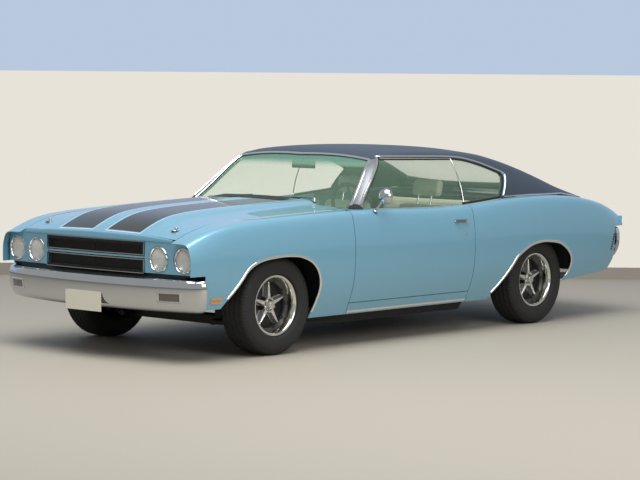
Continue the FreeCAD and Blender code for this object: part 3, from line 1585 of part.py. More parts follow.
def rim(side, axle_y):
    """A steel wheel: barrel and bright lip, five spokes and a hub bored for the spindle."""
    centre_x = side * track / 2
    inner = rim_radius - rim_well
    lip_x = rim_side_x + lip_wide
    profile = [
        (-rim_side_x, inner), (-rim_side_x, lip_radius), (lip_x, lip_radius),
        (lip_x, lip_radius - lip_tall), (rim_side_x - lip_run, inner),
    ]
    centre = V(centre_x, axle_y, axle_z)
    face = polygon([V(centre_x + side * u, axle_y, axle_z + r) for u, r in profile])
    barrel = face.revolve(centre, V(1, 0, 0), full_turn)
    hub_in = centre - V(side * hub_face_in, 0, 0)
    hub = rod(hub_in, centre + V(side * hub_out, 0, 0), wheel_hub_radius)
    pieces = [barrel, hub]
    spoke_profile = [
        (spoke_root, spoke_back[0]), (inner + spoke_lap, spoke_back[1]),
        (inner + spoke_lap, spoke_front[0]), (spoke_bend, spoke_front[1]),
        (spoke_root, spoke_front[0]),
    ]
    line = [centre + V(side * x, -spoke_wide / 2, r) for r, x in spoke_profile]
    for k in range(spoke_count):
        plate = polygon(line).extrude(V(0, spoke_wide, 0))
        plate.rotate(centre, V(1, 0, 0), k * full_turn / spoke_count)
        pieces.append(plate)
    bore_start = hub_in - V(side * gap, 0, 0)
    bore_end = V(side * (spindle_end_x + seat_gap), axle_y, axle_z)
    return joined(pieces).cut(rod(bore_start, bore_end, spindle_radius + seat_gap))


for place, axle_y in (("front", front_axle_y), ("rear", rear_axle_y)):
    for hand, side in (("left", 1), ("right", -1)):
        save("tyre_" + place + "_" + hand, tyre(side, axle_y))
        save("rim_" + place + "_" + hand, rim(side, axle_y))
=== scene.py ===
import math

import bmesh
import bpy
import numpy as np
from mathutils import Matrix, Vector


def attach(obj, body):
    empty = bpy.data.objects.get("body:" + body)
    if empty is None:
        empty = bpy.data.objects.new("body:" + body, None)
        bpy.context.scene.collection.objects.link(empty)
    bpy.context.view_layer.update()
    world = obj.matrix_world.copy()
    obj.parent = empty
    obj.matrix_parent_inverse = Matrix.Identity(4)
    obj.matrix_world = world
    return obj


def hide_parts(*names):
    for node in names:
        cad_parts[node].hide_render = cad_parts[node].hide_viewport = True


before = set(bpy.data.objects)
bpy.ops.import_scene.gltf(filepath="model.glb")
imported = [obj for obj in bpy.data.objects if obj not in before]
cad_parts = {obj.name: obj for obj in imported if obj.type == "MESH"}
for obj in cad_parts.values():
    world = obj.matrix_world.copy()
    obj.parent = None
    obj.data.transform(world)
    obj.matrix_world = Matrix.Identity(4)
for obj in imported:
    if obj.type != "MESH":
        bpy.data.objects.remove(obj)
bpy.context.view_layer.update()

# Body side: front fenders, quarters and sills
# Deep-drawn sheet steel in a light metallic blue under clear lacquer, welded or bolted round
# the doors. Each pressing shows a thin folded edge at its gaps.
metre = 0.001
body_length, body_width, body_height = 5009.0, 1915.0, 1336.0
wheelbase, front_overhang, tyre_radius = 2845.0, 942.0, 328.0
half_length, half_width = body_length / 2, body_width / 2
front_axle_y = front_overhang - half_length
rear_axle_y = front_axle_y + wheelbase
coat = 0.8
panel_gap = 6.0
gap = panel_gap / 2 - coat / 2


def hex_colour(text):
    """An sRGB hex colour as linear red, green, blue and full alpha, by the sRGB curve."""
    shares = np.array([int(text[k:k + 2], 16) for k in (0, 2, 4)]) / 255
    linear = np.where(shares <= 0.04045, shares / 12.92, ((shares + 0.055) / 1.055) ** 2.4)
    return (*linear.tolist(), 1.0)


def add_node(tree, kind, settings=None, links=None):
    """A node of a kind, with its properties and sockets set and its inputs linked."""
    made = tree.nodes.new(kind)
    for key, value in (settings or {}).items():
        if isinstance(key, str) and hasattr(made, key):
            setattr(made, key, value)
        else:
            made.inputs[key].default_value = value
    for key, source in (links or {}).items():
        tree.links.new(source, made.inputs[key])
    return made


def finish_of(name, colour, roughness, **sockets):
    """A material with one principled shader, its sockets set by their names."""
    made = bpy.data.materials.new(name)
    made.use_nodes = True
    shader = made.node_tree.nodes["Principled BSDF"]
    shader.inputs["Base Color"].default_value = hex_colour(colour)
    shader.inputs["Roughness"].default_value = roughness
    for key, value in sockets.items():
        shader.inputs[key.replace("_", " ")].default_value = value
    return made


def grain(made, size_mm, depth_mm, strength):
    """Bumps of a real size on a material: a noise in object space, its scale one over the size."""
    tree = made.node_tree
    place = add_node(tree, "ShaderNodeTexCoord")
    bumps = add_node(
        tree, "ShaderNodeTexNoise", {"Scale": 1 / (size_mm * metre)}, {"Vector": place.outputs["Object"]}
    )
    bump = add_node(
        tree, "ShaderNodeBump", {"Strength": strength, "Distance": depth_mm * metre},
        {"Height": bumps.outputs["Fac"]},
    )
    tree.links.new(bump.outputs["Normal"], tree.nodes["Principled BSDF"].inputs["Normal"])


def metallic_lacquer():
    """Blue metallic lacquer: fine flakes that change the blue a little, under a glossy clear coat."""
    made = finish_of("metallic_lacquer", "74A5C2", 0.38, Metallic=0.35, Coat_Weight=1.0, Coat_Roughness=0.04)
    tree = made.node_tree
    # A real flake is about 0.05 mm, too fine to show, so the flakes are drawn coarser.
    flake_mm = 1.2
    place = add_node(tree, "ShaderNodeTexCoord")
    flakes = add_node(
        tree, "ShaderNodeTexNoise", {"Scale": 1 / (flake_mm * metre), "Detail": 1.0},
        {"Vector": place.outputs["Object"]},
    )
    blues = add_node(tree, "ShaderNodeValToRGB", {}, {"Fac": flakes.outputs["Fac"]})
    for stop, place, colour in zip(blues.color_ramp.elements, (0.35, 0.65), ("6A9FB8", "7CB2CC")):
        stop.position, stop.color = place, hex_colour(colour)
    tree.links.new(blues.outputs["Color"], tree.nodes["Principled BSDF"].inputs["Base Color"])
    return made


lacquer = metallic_lacquer()


def spline_weights(count, where):
    """The share of each of a clamped row of control points in a cubic spline at places along it,
    by the Cox and de Boor rule: each degree blends two weights of the degree below."""
    degree = min(3, count - 1)
    ends = np.full(degree, count - degree)
    knots = np.concatenate([np.zeros(degree), np.arange(count - degree + 1), ends])
    at = np.clip(np.asarray(where, float), 0, count - degree - 1e-9)[..., None]
    weights = ((at >= knots[:-1]) & (at < knots[1:])).astype(float)
    for p in range(1, degree + 1):
        run = knots[p:-1] - knots[:-p - 1]
        fall = knots[p + 1:] - knots[1:-p]
        rise_share = (at - knots[:-p - 1]) / np.where(run > 0, run, 1)
        fall_share = (knots[p + 1:] - at) / np.where(fall > 0, fall, 1)
        weights = rise_share * weights[..., :-1] + fall_share * weights[..., 1:]
    return weights


def on_net(net, uv):
    """Points of the spline surface over a net at pairs of parameters."""
    along = spline_weights(net.shape[0], uv[..., 0])
    across = spline_weights(net.shape[1], uv[..., 1])
    rows = np.tensordot(along, net, axes=(-1, 0))
    return np.einsum("...j,...jk->...k", across, rows)


def normals_on(net, uv, outward):
    """Unit normals: the cross product of small steps along both parameters, turned outward."""
    small = 1e-3
    u_step, v_step = np.array([small, 0.0]), np.array([0.0, small])
    normal = np.cross(
        on_net(net, uv + u_step) - on_net(net, uv - u_step),
        on_net(net, uv + v_step) - on_net(net, uv - v_step),
    )
    normal /= np.linalg.norm(normal, axis=-1, keepdims=True) + 1e-12
    middle = normal.reshape(-1, 3).mean(axis=0)
    return normal * (1 if middle @ np.array(outward) > 0 else -1)


def along_at(net, y):
    """The first parameter where the surface passes a place along the car."""
    table_u = np.linspace(0, net.shape[0] - 3, 1500)
    table_y = spline_weights(net.shape[0], table_u) @ net[:, 0, 1]
    return np.interp(y, table_y, table_u)


def across_at(net, u, axis, value, v_from, v_to):
    """The second parameter where x or z has a value, found by halving the range 40 times."""
    u, value = np.broadcast_arrays(np.asarray(u, float), np.asarray(value, float))
    low, high = np.full(u.shape, float(v_from)), np.full(u.shape, float(v_to))
    rising = on_net(net, np.stack([u, high], -1))[..., axis] > on_net(net, np.stack([u, low], -1))[..., axis]
    for _ in range(40):
        middle = (low + high) / 2
        found = on_net(net, np.stack([u, middle], -1))[..., axis]
        below = np.where(rising, found < value, found > value)
        low, high = np.where(below, middle, low), np.where(below, high, middle)
    return (low + high) / 2


def through(points, count):
    """A smooth line through points: cubic pieces whose tangents come from the neighbours."""
    points = np.array(points, float)
    tangents = np.gradient(points, axis=0)
    at = np.linspace(0, len(points) - 1 - 1e-9, count)
    k = at.astype(int)
    t = (at - k)[:, None]
    p0, p1, m0, m1 = points[k], points[k + 1], tangents[k], tangents[k + 1]
    return (
        (2 * t**3 - 3 * t**2 + 1) * p0 + (t**3 - 2 * t**2 + t) * m0
        + (3 * t**2 - 2 * t**3) * p1 + (t**3 - t**2) * m1
    )


def even(points, count):
    """Points at even steps of length along a polyline."""
    points = np.array(points, float)
    runs = np.concatenate([[0], np.cumsum(np.linalg.norm(np.diff(points, axis=0), axis=1))])
    at = np.linspace(0, runs[-1], count)
    return np.stack([np.interp(at, runs, points[:, k]) for k in range(points.shape[1])], -1)


def fill(low, high, left, right):
    """A grid inside four edge lines: the two ruled surfaces added, less the one of the corners."""
    low, high, left, right = (np.asarray(edge, float) for edge in (low, high, left, right))
    s = np.linspace(0, 1, len(low))[None, :, None]
    t = np.linspace(0, 1, len(left))[:, None, None]
    ruled = (1 - t) * low[None] + t * high[None] + (1 - s) * left[:, None] + s * right[:, None]
    corners = (1 - t) * ((1 - s) * low[0] + s * low[-1]) + t * ((1 - s) * high[0] + s * high[-1])
    return ruled - corners


def grid_faces(rows, columns, start=0):
    """Corner numbers of the four-sided cells of a grid of points."""
    first = start + np.arange(rows - 1)[:, None] * columns + np.arange(columns - 1)[None]
    return np.stack([first, first + 1, first + columns + 1, first + columns], -1).reshape(-1, 4)


def facing(points, outward):
    """A grid turned so that the mean of its faces' normals points outward."""
    run = points[1:, :-1] - points[:-1, :-1]
    rise = points[:-1, 1:] - points[:-1, :-1]
    mean = np.cross(rise, run).reshape(-1, 3).sum(axis=0)
    return points if mean @ np.array(outward, float) > 0 else points[::-1]


def grid_normals(points):
    """Unit normals of a grid from its own steps, pointing as its faces do."""
    rise, run = np.gradient(points, axis=1), np.gradient(points, axis=0)
    normal = np.cross(rise, run)
    return normal / (np.linalg.norm(normal, axis=-1, keepdims=True) + 1e-9)


def folded(points, depth):
    """A grid with a rim all round it that is carried inwards, against the normals, by a depth."""
    widths = ((1, 1), (1, 1), (0, 0))
    shell, normal = (np.pad(grid, widths, mode="edge") for grid in (points, grid_normals(points)))
    inner = np.zeros(shell.shape[:2], bool)
    inner[1:-1, 1:-1] = True
    return np.where(inner[..., None], shell, shell - normal * depth)


def make_piece(name, grids, materials, body, crease=35.0, replaces=(), tints=None):
    """A mesh of grids in millimetres, its doubles merged, smooth up to a crease angle, on a body.
    Tints give each cell the number of its material."""
    mesh = bpy.data.meshes.new(name)
    starts = np.cumsum([0] + [g.shape[0] * g.shape[1] for g in grids])
    faces = np.concatenate([grid_faces(*g.shape[:2], start) for g, start in zip(grids, starts)])
    vertices = np.concatenate([g.reshape(-1, 3) for g in grids]) * metre
    mesh.from_pydata(vertices.tolist(), [], faces.tolist())
    if tints is not None:
        mesh.polygons.foreach_set("material_index", np.asarray(tints, np.int32))
    work = bmesh.new()
    work.from_mesh(mesh)
    bmesh.ops.remove_doubles(work, verts=work.verts, dist=0.02 * metre)
    bmesh.ops.dissolve_degenerate(work, dist=0.01 * metre, edges=work.edges)
    work.to_mesh(mesh)
    work.free()
    for material in materials if isinstance(materials, list) else [materials]:
        mesh.materials.append(material)
    mesh.polygons.foreach_set("use_smooth", np.ones(len(mesh.polygons), bool))
    mesh.set_sharp_from_angle(angle=math.radians(crease))
    piece = bpy.data.objects.new(name, mesh)
    bpy.context.scene.collection.objects.link(piece)
    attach(piece, body)
    if replaces:
        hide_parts(*replaces)


def swapped(points):
    """The same grid on the car's other side."""
    return (points * np.array([-1.0, 1.0, 1.0]))[::-1]


def kept(points):
    """The grid as it is, for the left side."""
    return points


def dress(nodes, material):
    """Gives CAD nodes a material."""
    for node in nodes:
        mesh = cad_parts[node].data
        mesh.materials.clear()
        mesh.materials.append(material)


# Heights of the crest and half widths of the side, as shares of the half length, height and half width
crest_shares = np.array([
    (-0.958, 0.573), (-0.914, 0.608), (-0.858, 0.642), (-0.799, 0.659), (-0.687, 0.671),
    (-0.511, 0.683), (-0.287, 0.696), (-0.12, 0.687), (0.104, 0.680), (0.204, 0.690),
    (0.343, 0.712), (0.479, 0.716), (0.655, 0.713), (0.747, 0.690), (0.8185, 0.665),
    (0.868, 0.641), (0.930, 0.599), (0.958, 0.569),
])
plan_shares = np.array([
    (-0.958, 0.945), (-0.878, 0.966), (-0.759, 0.980), (-0.624, 0.986), (-0.439, 0.988),
    (-0.24, 0.990), (0.0, 0.993), (0.2, 0.996), (0.4, 1.001), (0.519, 1.002),
    (0.679, 0.995), (0.839, 0.972), (0.918, 0.946), (0.958, 0.922),
])
station_shares = np.array([
    -0.958, -0.914, -0.858, -0.78, -0.66, -0.511, -0.36, -0.2, -0.05, 0.104, 0.22,
    0.343, 0.479, 0.63, 0.747, 0.8185, 0.868, 0.930, 0.958,
])
belly_height_share = 0.487
lower_section_shares = np.array([
    (0.099, 0.166), (0.062, 0.225), (0.022, 0.30), (0.003, 0.39), (-0.001, 0.487),
])
upper_section_shares = np.array([
    (0.006, 0.38), (0.020, 0.72), (0.038, 0.93), (0.064, 1.0), (0.105, 1.015), (0.18, 1.02), (0.29, 1.02),
])
belly_z = belly_height_share * body_height


def crest_z(y):
    """Height of the fender's crest at a place along the car."""
    return np.interp(np.asarray(y) / half_length, crest_shares[:, 0], crest_shares[:, 1]) * body_height


def top_z(y):
    """Height of the flat beside the hood and the trunk lid."""
    return belly_z + upper_section_shares[-1, 1] * (crest_z(y) - belly_z)


def side_net():
    """The side's control points: insets from the plan line by heights, at each station."""
    y = station_shares * half_length
    plan = np.interp(station_shares, plan_shares[:, 0], plan_shares[:, 1]) * half_width
    inset = np.concatenate([lower_section_shares[:, 0], upper_section_shares[:, 0]]) * half_width
    low_z = np.broadcast_to(lower_section_shares[:, 1] * body_height, (len(y), len(lower_section_shares)))
    up_z = belly_z + upper_section_shares[:, 1][None] * (crest_z(y) - belly_z)[:, None]
    z = np.concatenate([low_z, up_z], axis=1)
    x = plan[:, None] - inset[None]
    return np.stack([x, np.broadcast_to(y[:, None], x.shape), z], -1)


side = side_net()
out_side = (1.0, 0.0, 0.2)


def side_at(y, z):
    """Parameters of the side surface at places given by length and height."""
    y, z = np.broadcast_arrays(np.asarray(y, float), np.asarray(z, float))
    u = along_at(side, y)
    return np.stack([u, across_at(side, u, 2, z, 0.0, 7.2)], -1)


def side_top(y, x):
    """Parameters of the side surface's top at places given by length and breadth."""
    y, x = np.broadcast_arrays(np.asarray(y, float), np.asarray(x, float))
    u = along_at(side, y)
    return np.stack([u, across_at(side, u, 0, x, 5.6, 9.0)], -1)


def side_skin(uv, proud=coat):
    """Points on the side surface, stood proud of it by the thickness of the paint."""
    return facing(on_net(side, uv) + normals_on(side, uv, out_side) * proud, out_side)


def upright(low_uv, high_uv, rows):
    """A grid between a lower and an upper line."""
    t = np.linspace(0, 1, rows)[:, None, None]
    return (1 - t) * low_uv[None] + t * high_uv[None]


front_arch_shares = [
    (-1.74, -0.25), (-1.66, 0.06), (-1.24, 0.53), (-1.0, 0.79), (-0.655, 0.935), (-0.137, 0.99),
    (0.256, 0.985), (0.518, 0.945), (0.81, 0.82), (1.0, 0.605), (1.073, 0.345), (1.05, 0.09),
    (0.97, -0.34),
]
rear_arch_shares = [
    (-1.92, -0.45), (-1.78, -0.24), (-1.50, 0.05), (-1.17, 0.43), (-0.985, 0.62), (-0.567, 0.82),
    (-0.168, 0.885), (0.131, 0.88), (0.51, 0.83), (0.78, 0.71), (0.975, 0.55), (1.058, 0.36),
    (1.0, 0.155), (0.84, -0.10),
]
front_arch = even(through(front_arch_shares, 400), 200) * tyre_radius + [front_axle_y, tyre_radius]
rear_arch = even(through(rear_arch_shares, 400), 200) * tyre_radius + [rear_axle_y, tyre_radius]
door_front_y, door_rear_y, door_bottom_z = -872.5, 427.5, 300.0
hood_seam_x, deck_seam_x, sill_low_z = 728.0, 686.0, 215.0
nose_y, tail_y = -2399.0, 2392.0
bumper_top_z, bumper_end_y, fender_low_z = 562.0, -2276.0, 345.0
fender_tip = (797.0, -738.0)
belt_lip_x, belt_blend_y = 858.0, (1050.0, 1140.0)
quarter_low_z, tail_end_low_z = 303.0, 696.0
tail_low_shares = [
    (0.743, 0.249), (0.807, 0.255), (0.871, 0.271), (0.893, 0.328), (0.897, 0.40),
]


def fender_grids():
    """The fender as four grids: its front end, over the wheel, behind the wheel and the tip."""
    seam_x = hood_seam_x + gap
    far = front_arch[:, 0].argmax()
    ahead, behind = front_arch[:far + 1], front_arch[far:]
    behind = behind[behind[:, 1] > sill_low_z + gap]
    ahead = ahead[ahead[:, 1] > fender_low_z]
    bumper_y = bumper_end_y + gap
    y = np.linspace(nose_y + gap, bumper_y, 14)
    grids = [upright(side_at(y, bumper_top_z + gap), side_top(y, seam_x), 60)]
    lead = np.stack([np.linspace(bumper_y, ahead[0, 0], 12)[:-1], np.full(11, fender_low_z)], -1)
    over = np.concatenate([lead, ahead])
    grids.append(upright(side_at(over[:, 0], over[:, 1]), side_top(over[:, 0], seam_x), 60))
    back_y = door_front_y - gap
    left_low = side_at(behind[::-1, 0], behind[::-1, 1])
    right_low = side_at(back_y, behind[::-1, 1])
    left_up = upright(left_low[-1:], side_top(behind[0, 0], seam_x)[None], 60)[1:, 0]
    right_up = upright(right_low[-1:], side_top(back_y, seam_x)[None], 60)[1:, 0]
    left, right = np.concatenate([left_low, left_up]), np.concatenate([right_low, right_up])
    grids.append(upright(left, right, 40))
    tip_y = np.linspace(back_y, fender_tip[1], 10)
    grids.append(upright(side_top(tip_y, fender_tip[0]), side_top(tip_y, seam_x), 10))
    return [side_skin(grid) for grid in grids]


def quarter_grids():
    """The quarter as three grids: over the wheel, behind it down to the bumper, and the tail end."""
    far = rear_arch[:, 0].argmax()
    ahead, behind = rear_arch[:far + 1], rear_arch[far:]
    y = np.concatenate([np.linspace(door_rear_y + gap, ahead[0, 0], 24)[:-1], ahead[:, 0]])
    low = np.maximum(sill_low_z + gap, np.interp(y, ahead[:, 0], ahead[:, 1]))
    top_x = np.interp(y, belt_blend_y, [belt_lip_x, deck_seam_x + gap])
    grids = [upright(side_at(y, low), side_top(y, top_x), 60)]
    tail_low = np.array(tail_low_shares) * [half_length, body_height]
    behind = behind[behind[:, 1] > quarter_low_z]
    low_line = even(np.concatenate([behind[-1:], tail_low]), 60)
    end_y = low_line[-1, 0]
    top_line = side_top(np.linspace(behind[0, 0], end_y, 60), deck_seam_x + gap)
    left = side_at(behind[::-1, 0], behind[::-1, 1])
    left = even(np.concatenate([left, upright(left[-1:], top_line[:1], 30)[1:, 0]]), 70)
    right = upright(side_at(end_y, low_line[-1, 1])[None], top_line[-1:], 70)[:, 0]
    grids.append(fill(side_at(low_line[:, 0], low_line[:, 1]), top_line, left, right))
    last_y = np.linspace(end_y, tail_y + gap, 16)
    grids.append(upright(side_at(last_y, tail_end_low_z), side_top(last_y, deck_seam_x + gap), 40))
    return [side_skin(grid) for grid in grids]


def sill_grids():
    """The sill below the door."""
    y = np.linspace(door_front_y + gap, door_rear_y - gap, 40)
    return [side_skin(upright(side_at(y, sill_low_z + gap), side_at(y, door_bottom_z - gap), 12))]


panel_fold = 5.0
both_hands = (("left", kept), ("right", swapped))
for hand, turn in both_hands:
    for label, grids in (("fender", fender_grids()), ("quarter", quarter_grids()), ("rocker", sill_grids())):
        skins = [turn(folded(grid, panel_fold)) for grid in grids]
        make_piece(label + "_paint_" + hand, skins, lacquer, "body")
        dress([label + "_" + hand], lacquer)

# Roof, pillars and sails
# One steel shell with a grained vinyl cover glued over it, from the windshield posts to the deck.
# The grain is a soft leather print, and the cover's edges are held by bright strips.
cabin_shares = np.array([
    (-0.320, 0.655, 0.84, 0.66), (-0.280, 0.735, 0.825, 0.705), (-0.240, 0.812, 0.785, 0.771),
    (-0.200, 0.890, 0.747, 0.844), (-0.160, 0.958, 0.708, 0.913), (-0.120, 0.986, 0.684, 0.954),
    (-0.060, 0.997, 0.681, 0.970), (0.040, 1.0015, 0.698, 0.973), (0.160, 1.0, 0.710, 0.966),
    (0.280, 0.988, 0.718, 0.955), (0.380, 0.966, 0.725, 0.925), (0.460, 0.918, 0.731, 0.890),
    (0.540, 0.842, 0.740, 0.847), (0.620, 0.756, 0.754, 0.795), (0.680, 0.722, 0.778, 0.748),
    (0.760, 0.700, 0.825, 0.703),
])
glass_x, belt_below, side_bow, roof_seat = 848.0, 60.0, 14.0, -4.0
windshield_base_y, windshield_top_y, windshield_corner_y = -735.0, -392.0, -362.0
backlight_top_y, backlight_low_y, deck_front_y = 935.0, 1545.0, 1586.0
shield_low = (745.0, -687.0)
shield_top_x, light_top_x, light_low_x = 612.0, 560.0, 610.0
door_window = np.array([(-656.2, 951.2), (-295.5, 1266.5), (430.8, 1253.2)])
quarter_window = np.array([
    (450.8, 935.2), (450.8, 1251.8), (576.0, 1237.5), (726.3, 1205.1), (876.6, 1159.6),
    (956.7, 1128.9), (966.7, 1102.2), (881.6, 972.6), (839.0, 964.6),
])
sail_foot_y, sail_end_y = 860.0, 1875.0


def cabin_net():
    """The cabin's control points: a section from the belt over the roof's corner at each station."""
    y = cabin_shares[:, 0] * half_length
    middle, corner_z = cabin_shares[:, 1] * body_height, cabin_shares[:, 3] * body_height
    corner_x = cabin_shares[:, 2] * half_width
    foot = crest_z(y) - belt_below
    rise, lean, crown = corner_z - foot, glass_x - corner_x, middle - corner_z
    half_x = [
        np.full(len(y), glass_x), glass_x - lean * 0.18 + side_bow, glass_x - lean * 0.60 + side_bow,
        corner_x + lean * 0.07 + side_bow, corner_x * 0.975, corner_x * 0.86,
        corner_x * 0.50, corner_x * 0.15,
    ]
    half_z = [
        foot, foot + rise * 0.35, foot + rise * 0.72, corner_z - rise * 0.07,
        corner_z + crown * 0.05, corner_z + crown * 0.35, corner_z + crown * 0.90, middle,
    ]
    x = np.stack(half_x + [-column for column in half_x[::-1]], -1)
    z = np.stack(half_z + half_z[::-1], -1)
    return np.stack([x, np.broadcast_to(y[:, None], x.shape), z], -1)


cabin = cabin_net()
middle_v = (cabin.shape[1] - 3) / 2
out_up = (0.0, 0.0, 1.0)


def cabin_side(y, z):
    """Parameters on the cabin's left wall at places given by length and height."""
    y, z = np.broadcast_arrays(np.asarray(y, float), np.asarray(z, float))
    u = along_at(cabin, y)
    return np.stack([u, across_at(cabin, u, 2, z, 0.0, 4.6)], -1)


def cabin_top(y, x):
    """Parameters on the cabin's roof at places given by length and breadth."""
    y, x = np.broadcast_arrays(np.asarray(y, float), np.asarray(x, float))
    u = along_at(cabin, y)
    left = across_at(cabin, u, 0, np.abs(x), 1.8, middle_v)
    return np.stack([u, np.where(x >= 0, left, 2 * middle_v - left)], -1)


def wall_line(line):
    """Parameters on the cabin's wall along a line of lengths and heights."""
    return cabin_side(line[:, 0], line[:, 1])


def roof_line(line):
    """Parameters on the cabin's roof along a line of breadths and lengths."""
    return cabin_top(line[:, 1], line[:, 0])


def over_middle(uv):
    """The same parameters on the other side of the cabin."""
    return uv * [1, -1] + [0, 2 * middle_v]


def cabin_normals(uv):
    """Normals that point up and out from inside the cabin."""
    normal = normals_on(cabin, uv, out_up)
    inside = np.array([0.0, 400.0, 700.0])
    away = np.einsum("...k,...k->...", normal, on_net(cabin, uv) - inside)
    return normal * np.where(away > 0, 1.0, -1.0)[..., None]


def cabin_skin(uv):
    """Points on the cabin's surface, stood proud of it by the thickness of the cover."""
    return facing(on_net(cabin, uv) + cabin_normals(uv) * coat, (0.6, 0.0, 1.0))


def belt_z(y):
    """The level where the cabin stands on the quarters."""
    return top_z(y) + roof_seat


def roof_grids():
    """Half of the roof as five grids: post, roof, sail, the strip below the backlight and the tail."""
    post_foot_y = -664.0
    rear_edge = even([(post_foot_y, belt_z(post_foot_y))] + door_window[:2].tolist(), 60)
    post_rear = wall_line(rear_edge)
    post_front = roof_line(even([(shield_low[0], -690.0), (shield_top_x, windshield_corner_y)], 60))
    grids = [upright(post_rear, post_front, 24)]
    header = even([(shield_top_x, windshield_corner_y), (0.0, windshield_top_y)], 40)
    corner = upright(post_rear[-1:], post_front[-1:], 14)[:-1, 0]
    front = np.concatenate([corner, roof_line(header)])
    window_top = even(np.concatenate([door_window[1:], quarter_window[1:5]]), 120)
    window_top = window_top[window_top[:, 0] < backlight_top_y]
    last_z = np.interp(backlight_top_y, quarter_window[1:6, 0], quarter_window[1:6, 1])
    low = wall_line(even(np.concatenate([window_top, [(backlight_top_y, last_z)]]), 120))
    high_u = np.linspace(front[-1, 0], low[-1, 0], 120)
    high = np.stack([high_u, np.full(120, middle_v)], -1)
    rear_corner = cabin_top(backlight_top_y, light_top_x)
    rear_low = upright(low[-1:], rear_corner[None], 14)[:-1, 0]
    rear = np.concatenate([rear_low, upright(rear_corner[None], high[-1:], 40)[:, 0]])
    grids.append(fill(low, high, front, rear))
    nose_foot = (sail_foot_y, float(belt_z(sail_foot_y)))
    nose = even([nose_foot, *quarter_window[[7, 6, 5]].tolist(), (backlight_top_y, last_z)], 50)
    left = np.concatenate([wall_line(nose), upright(low[-1:], rear_corner[None], 12)[1:, 0]])
    sail_y = np.linspace(sail_foot_y, backlight_low_y, 80)
    light_edge = even([(backlight_top_y, light_top_x), (backlight_low_y, light_low_x)], 80)
    high = cabin_top(light_edge[:, 0], light_edge[:, 1])
    foot = cabin_side(sail_y, belt_z(sail_y))
    right = upright(foot[-1:], high[-1:], len(left))[:, 0]
    grids.append(fill(foot, high, left, right))
    strip_y = np.linspace(backlight_low_y, deck_front_y, 6)
    centre = np.stack([along_at(cabin, strip_y), np.full(6, middle_v)], -1)
    strip_foot = cabin_side(strip_y, belt_z(strip_y))
    strip_edge = cabin_top(strip_y, light_low_x)
    grids.append(upright(strip_foot, strip_edge, len(left)))
    grids.append(upright(strip_edge, centre, 30))
    tail_y_line = np.linspace(deck_front_y, sail_end_y, 40)
    tail_foot = cabin_side(tail_y_line, belt_z(tail_y_line))
    grids.append(upright(tail_foot, cabin_top(tail_y_line, deck_seam_x + panel_gap), 50))
    return [cabin_skin(grid) for grid in grids]


def both_sides(grids):
    """The grids of the left side and then the same ones on the right."""
    return grids + [swapped(grid) for grid in grids]


# Vinyl printed with a leather grain: a dull blue black with soft lights. The real grain is about
# 1 mm, too fine to show, so it is drawn coarser.
vinyl = finish_of("grained_vinyl_cover", "36414F", 0.5, Specular_IOR_Level=0.4)
vinyl_grain_mm, vinyl_grain_deep, cover_fold = 3.0, 0.5, 3.0
grain(vinyl, vinyl_grain_mm, vinyl_grain_deep, 0.6)
halves = roof_grids()
roof_skins = [folded(g, cover_fold) for g in both_sides(halves[1:])]
make_piece("roof_cover", roof_skins, vinyl, "body")
# Brushed steel covers on the posts: a soft grey shine.
post_metal = finish_of("brushed_post_cover", "8D9096", 0.3, Metallic=0.7)
posts = [folded(g, cover_fold) for g in both_sides(halves[:1])]
make_piece("windshield_posts", posts, post_metal, "body")
# Stretched headliner cloth: dark, without any shine.
dress(["roof"], finish_of("headliner_cloth", "1D1F21", 0.9))

# Window glass
# Laminated and tempered glass, lightly tinted green, 5 mm thick, set in rubber in the shell.
glass_inset, glass_thick = 6.0, 5.0
band_foot_z, band_full_z, band_share = 1190.0, 1240.0, 0.75


def tinted_glass(name, band=False):
    """Green-tinted glass: nearly clear face on, more mirror-like at a slant, with a darker top band."""
    made = finish_of(name, "A9D2B4", 0.02, Specular_IOR_Level=0.9)
    tree = made.node_tree
    slant = add_node(tree, "ShaderNodeLayerWeight", {"Blend": 0.5})
    steep = add_node(tree, "ShaderNodeMath", {"operation": "POWER", 1: 3.0}, {0: slant.outputs["Facing"]})
    cover = add_node(
        tree, "ShaderNodeMath", {"operation": "MULTIPLY_ADD", 1: 0.5, 2: 0.06}, {0: steep.outputs["Value"]}
    )
    surface = tree.nodes["Principled BSDF"]
    if band:
        place = add_node(tree, "ShaderNodeTexCoord")
        level = add_node(tree, "ShaderNodeSeparateXYZ", {}, {"Vector": place.outputs["Object"]})
        share = add_node(
            tree, "ShaderNodeMapRange",
            {"From Min": band_foot_z * metre, "From Max": band_full_z * metre, "To Max": band_share},
            {"Value": level.outputs["Z"]},
        )
        shade = add_node(
            tree, "ShaderNodeMix", {"data_type": "RGBA", 6: hex_colour("A9D2B4"), 7: hex_colour("1E5A55")},
            {0: share.outputs["Result"]},
        )
        tree.links.new(shade.outputs[2], surface.inputs["Base Color"])
        cover = add_node(
            tree, "ShaderNodeMath", {"operation": "MAXIMUM"},
            {0: cover.outputs["Value"], 1: share.outputs["Result"]},
        )
    tree.links.new(cover.outputs["Value"], surface.inputs["Alpha"])
    return made


window_glass = tinted_glass("tinted_glass")
banded_glass = tinted_glass("banded_windshield_glass", True)


def pane(uv, outward):
    """A closed pane: its outer face, set in from the shell, and its inner face, joined round the rim."""
    normal = cabin_normals(uv)
    point = on_net(cabin, uv)
    outer, inner = point - normal * glass_inset, point - normal * (glass_inset + glass_thick)
    front = facing(outer, outward)
    if front is not outer:
        inner = inner[::-1]
    rim = [np.stack([front[k], inner[k]]) for k in (0, -1)]
    rim += [np.stack([front[:, k], inner[:, k]]) for k in (0, -1)]
    middle = front.reshape(-1, 3).mean(axis=0)
    rims = [facing(strip, strip.reshape(-1, 3).mean(axis=0) - middle) for strip in rim]
    return [front, inner[::-1]] + rims


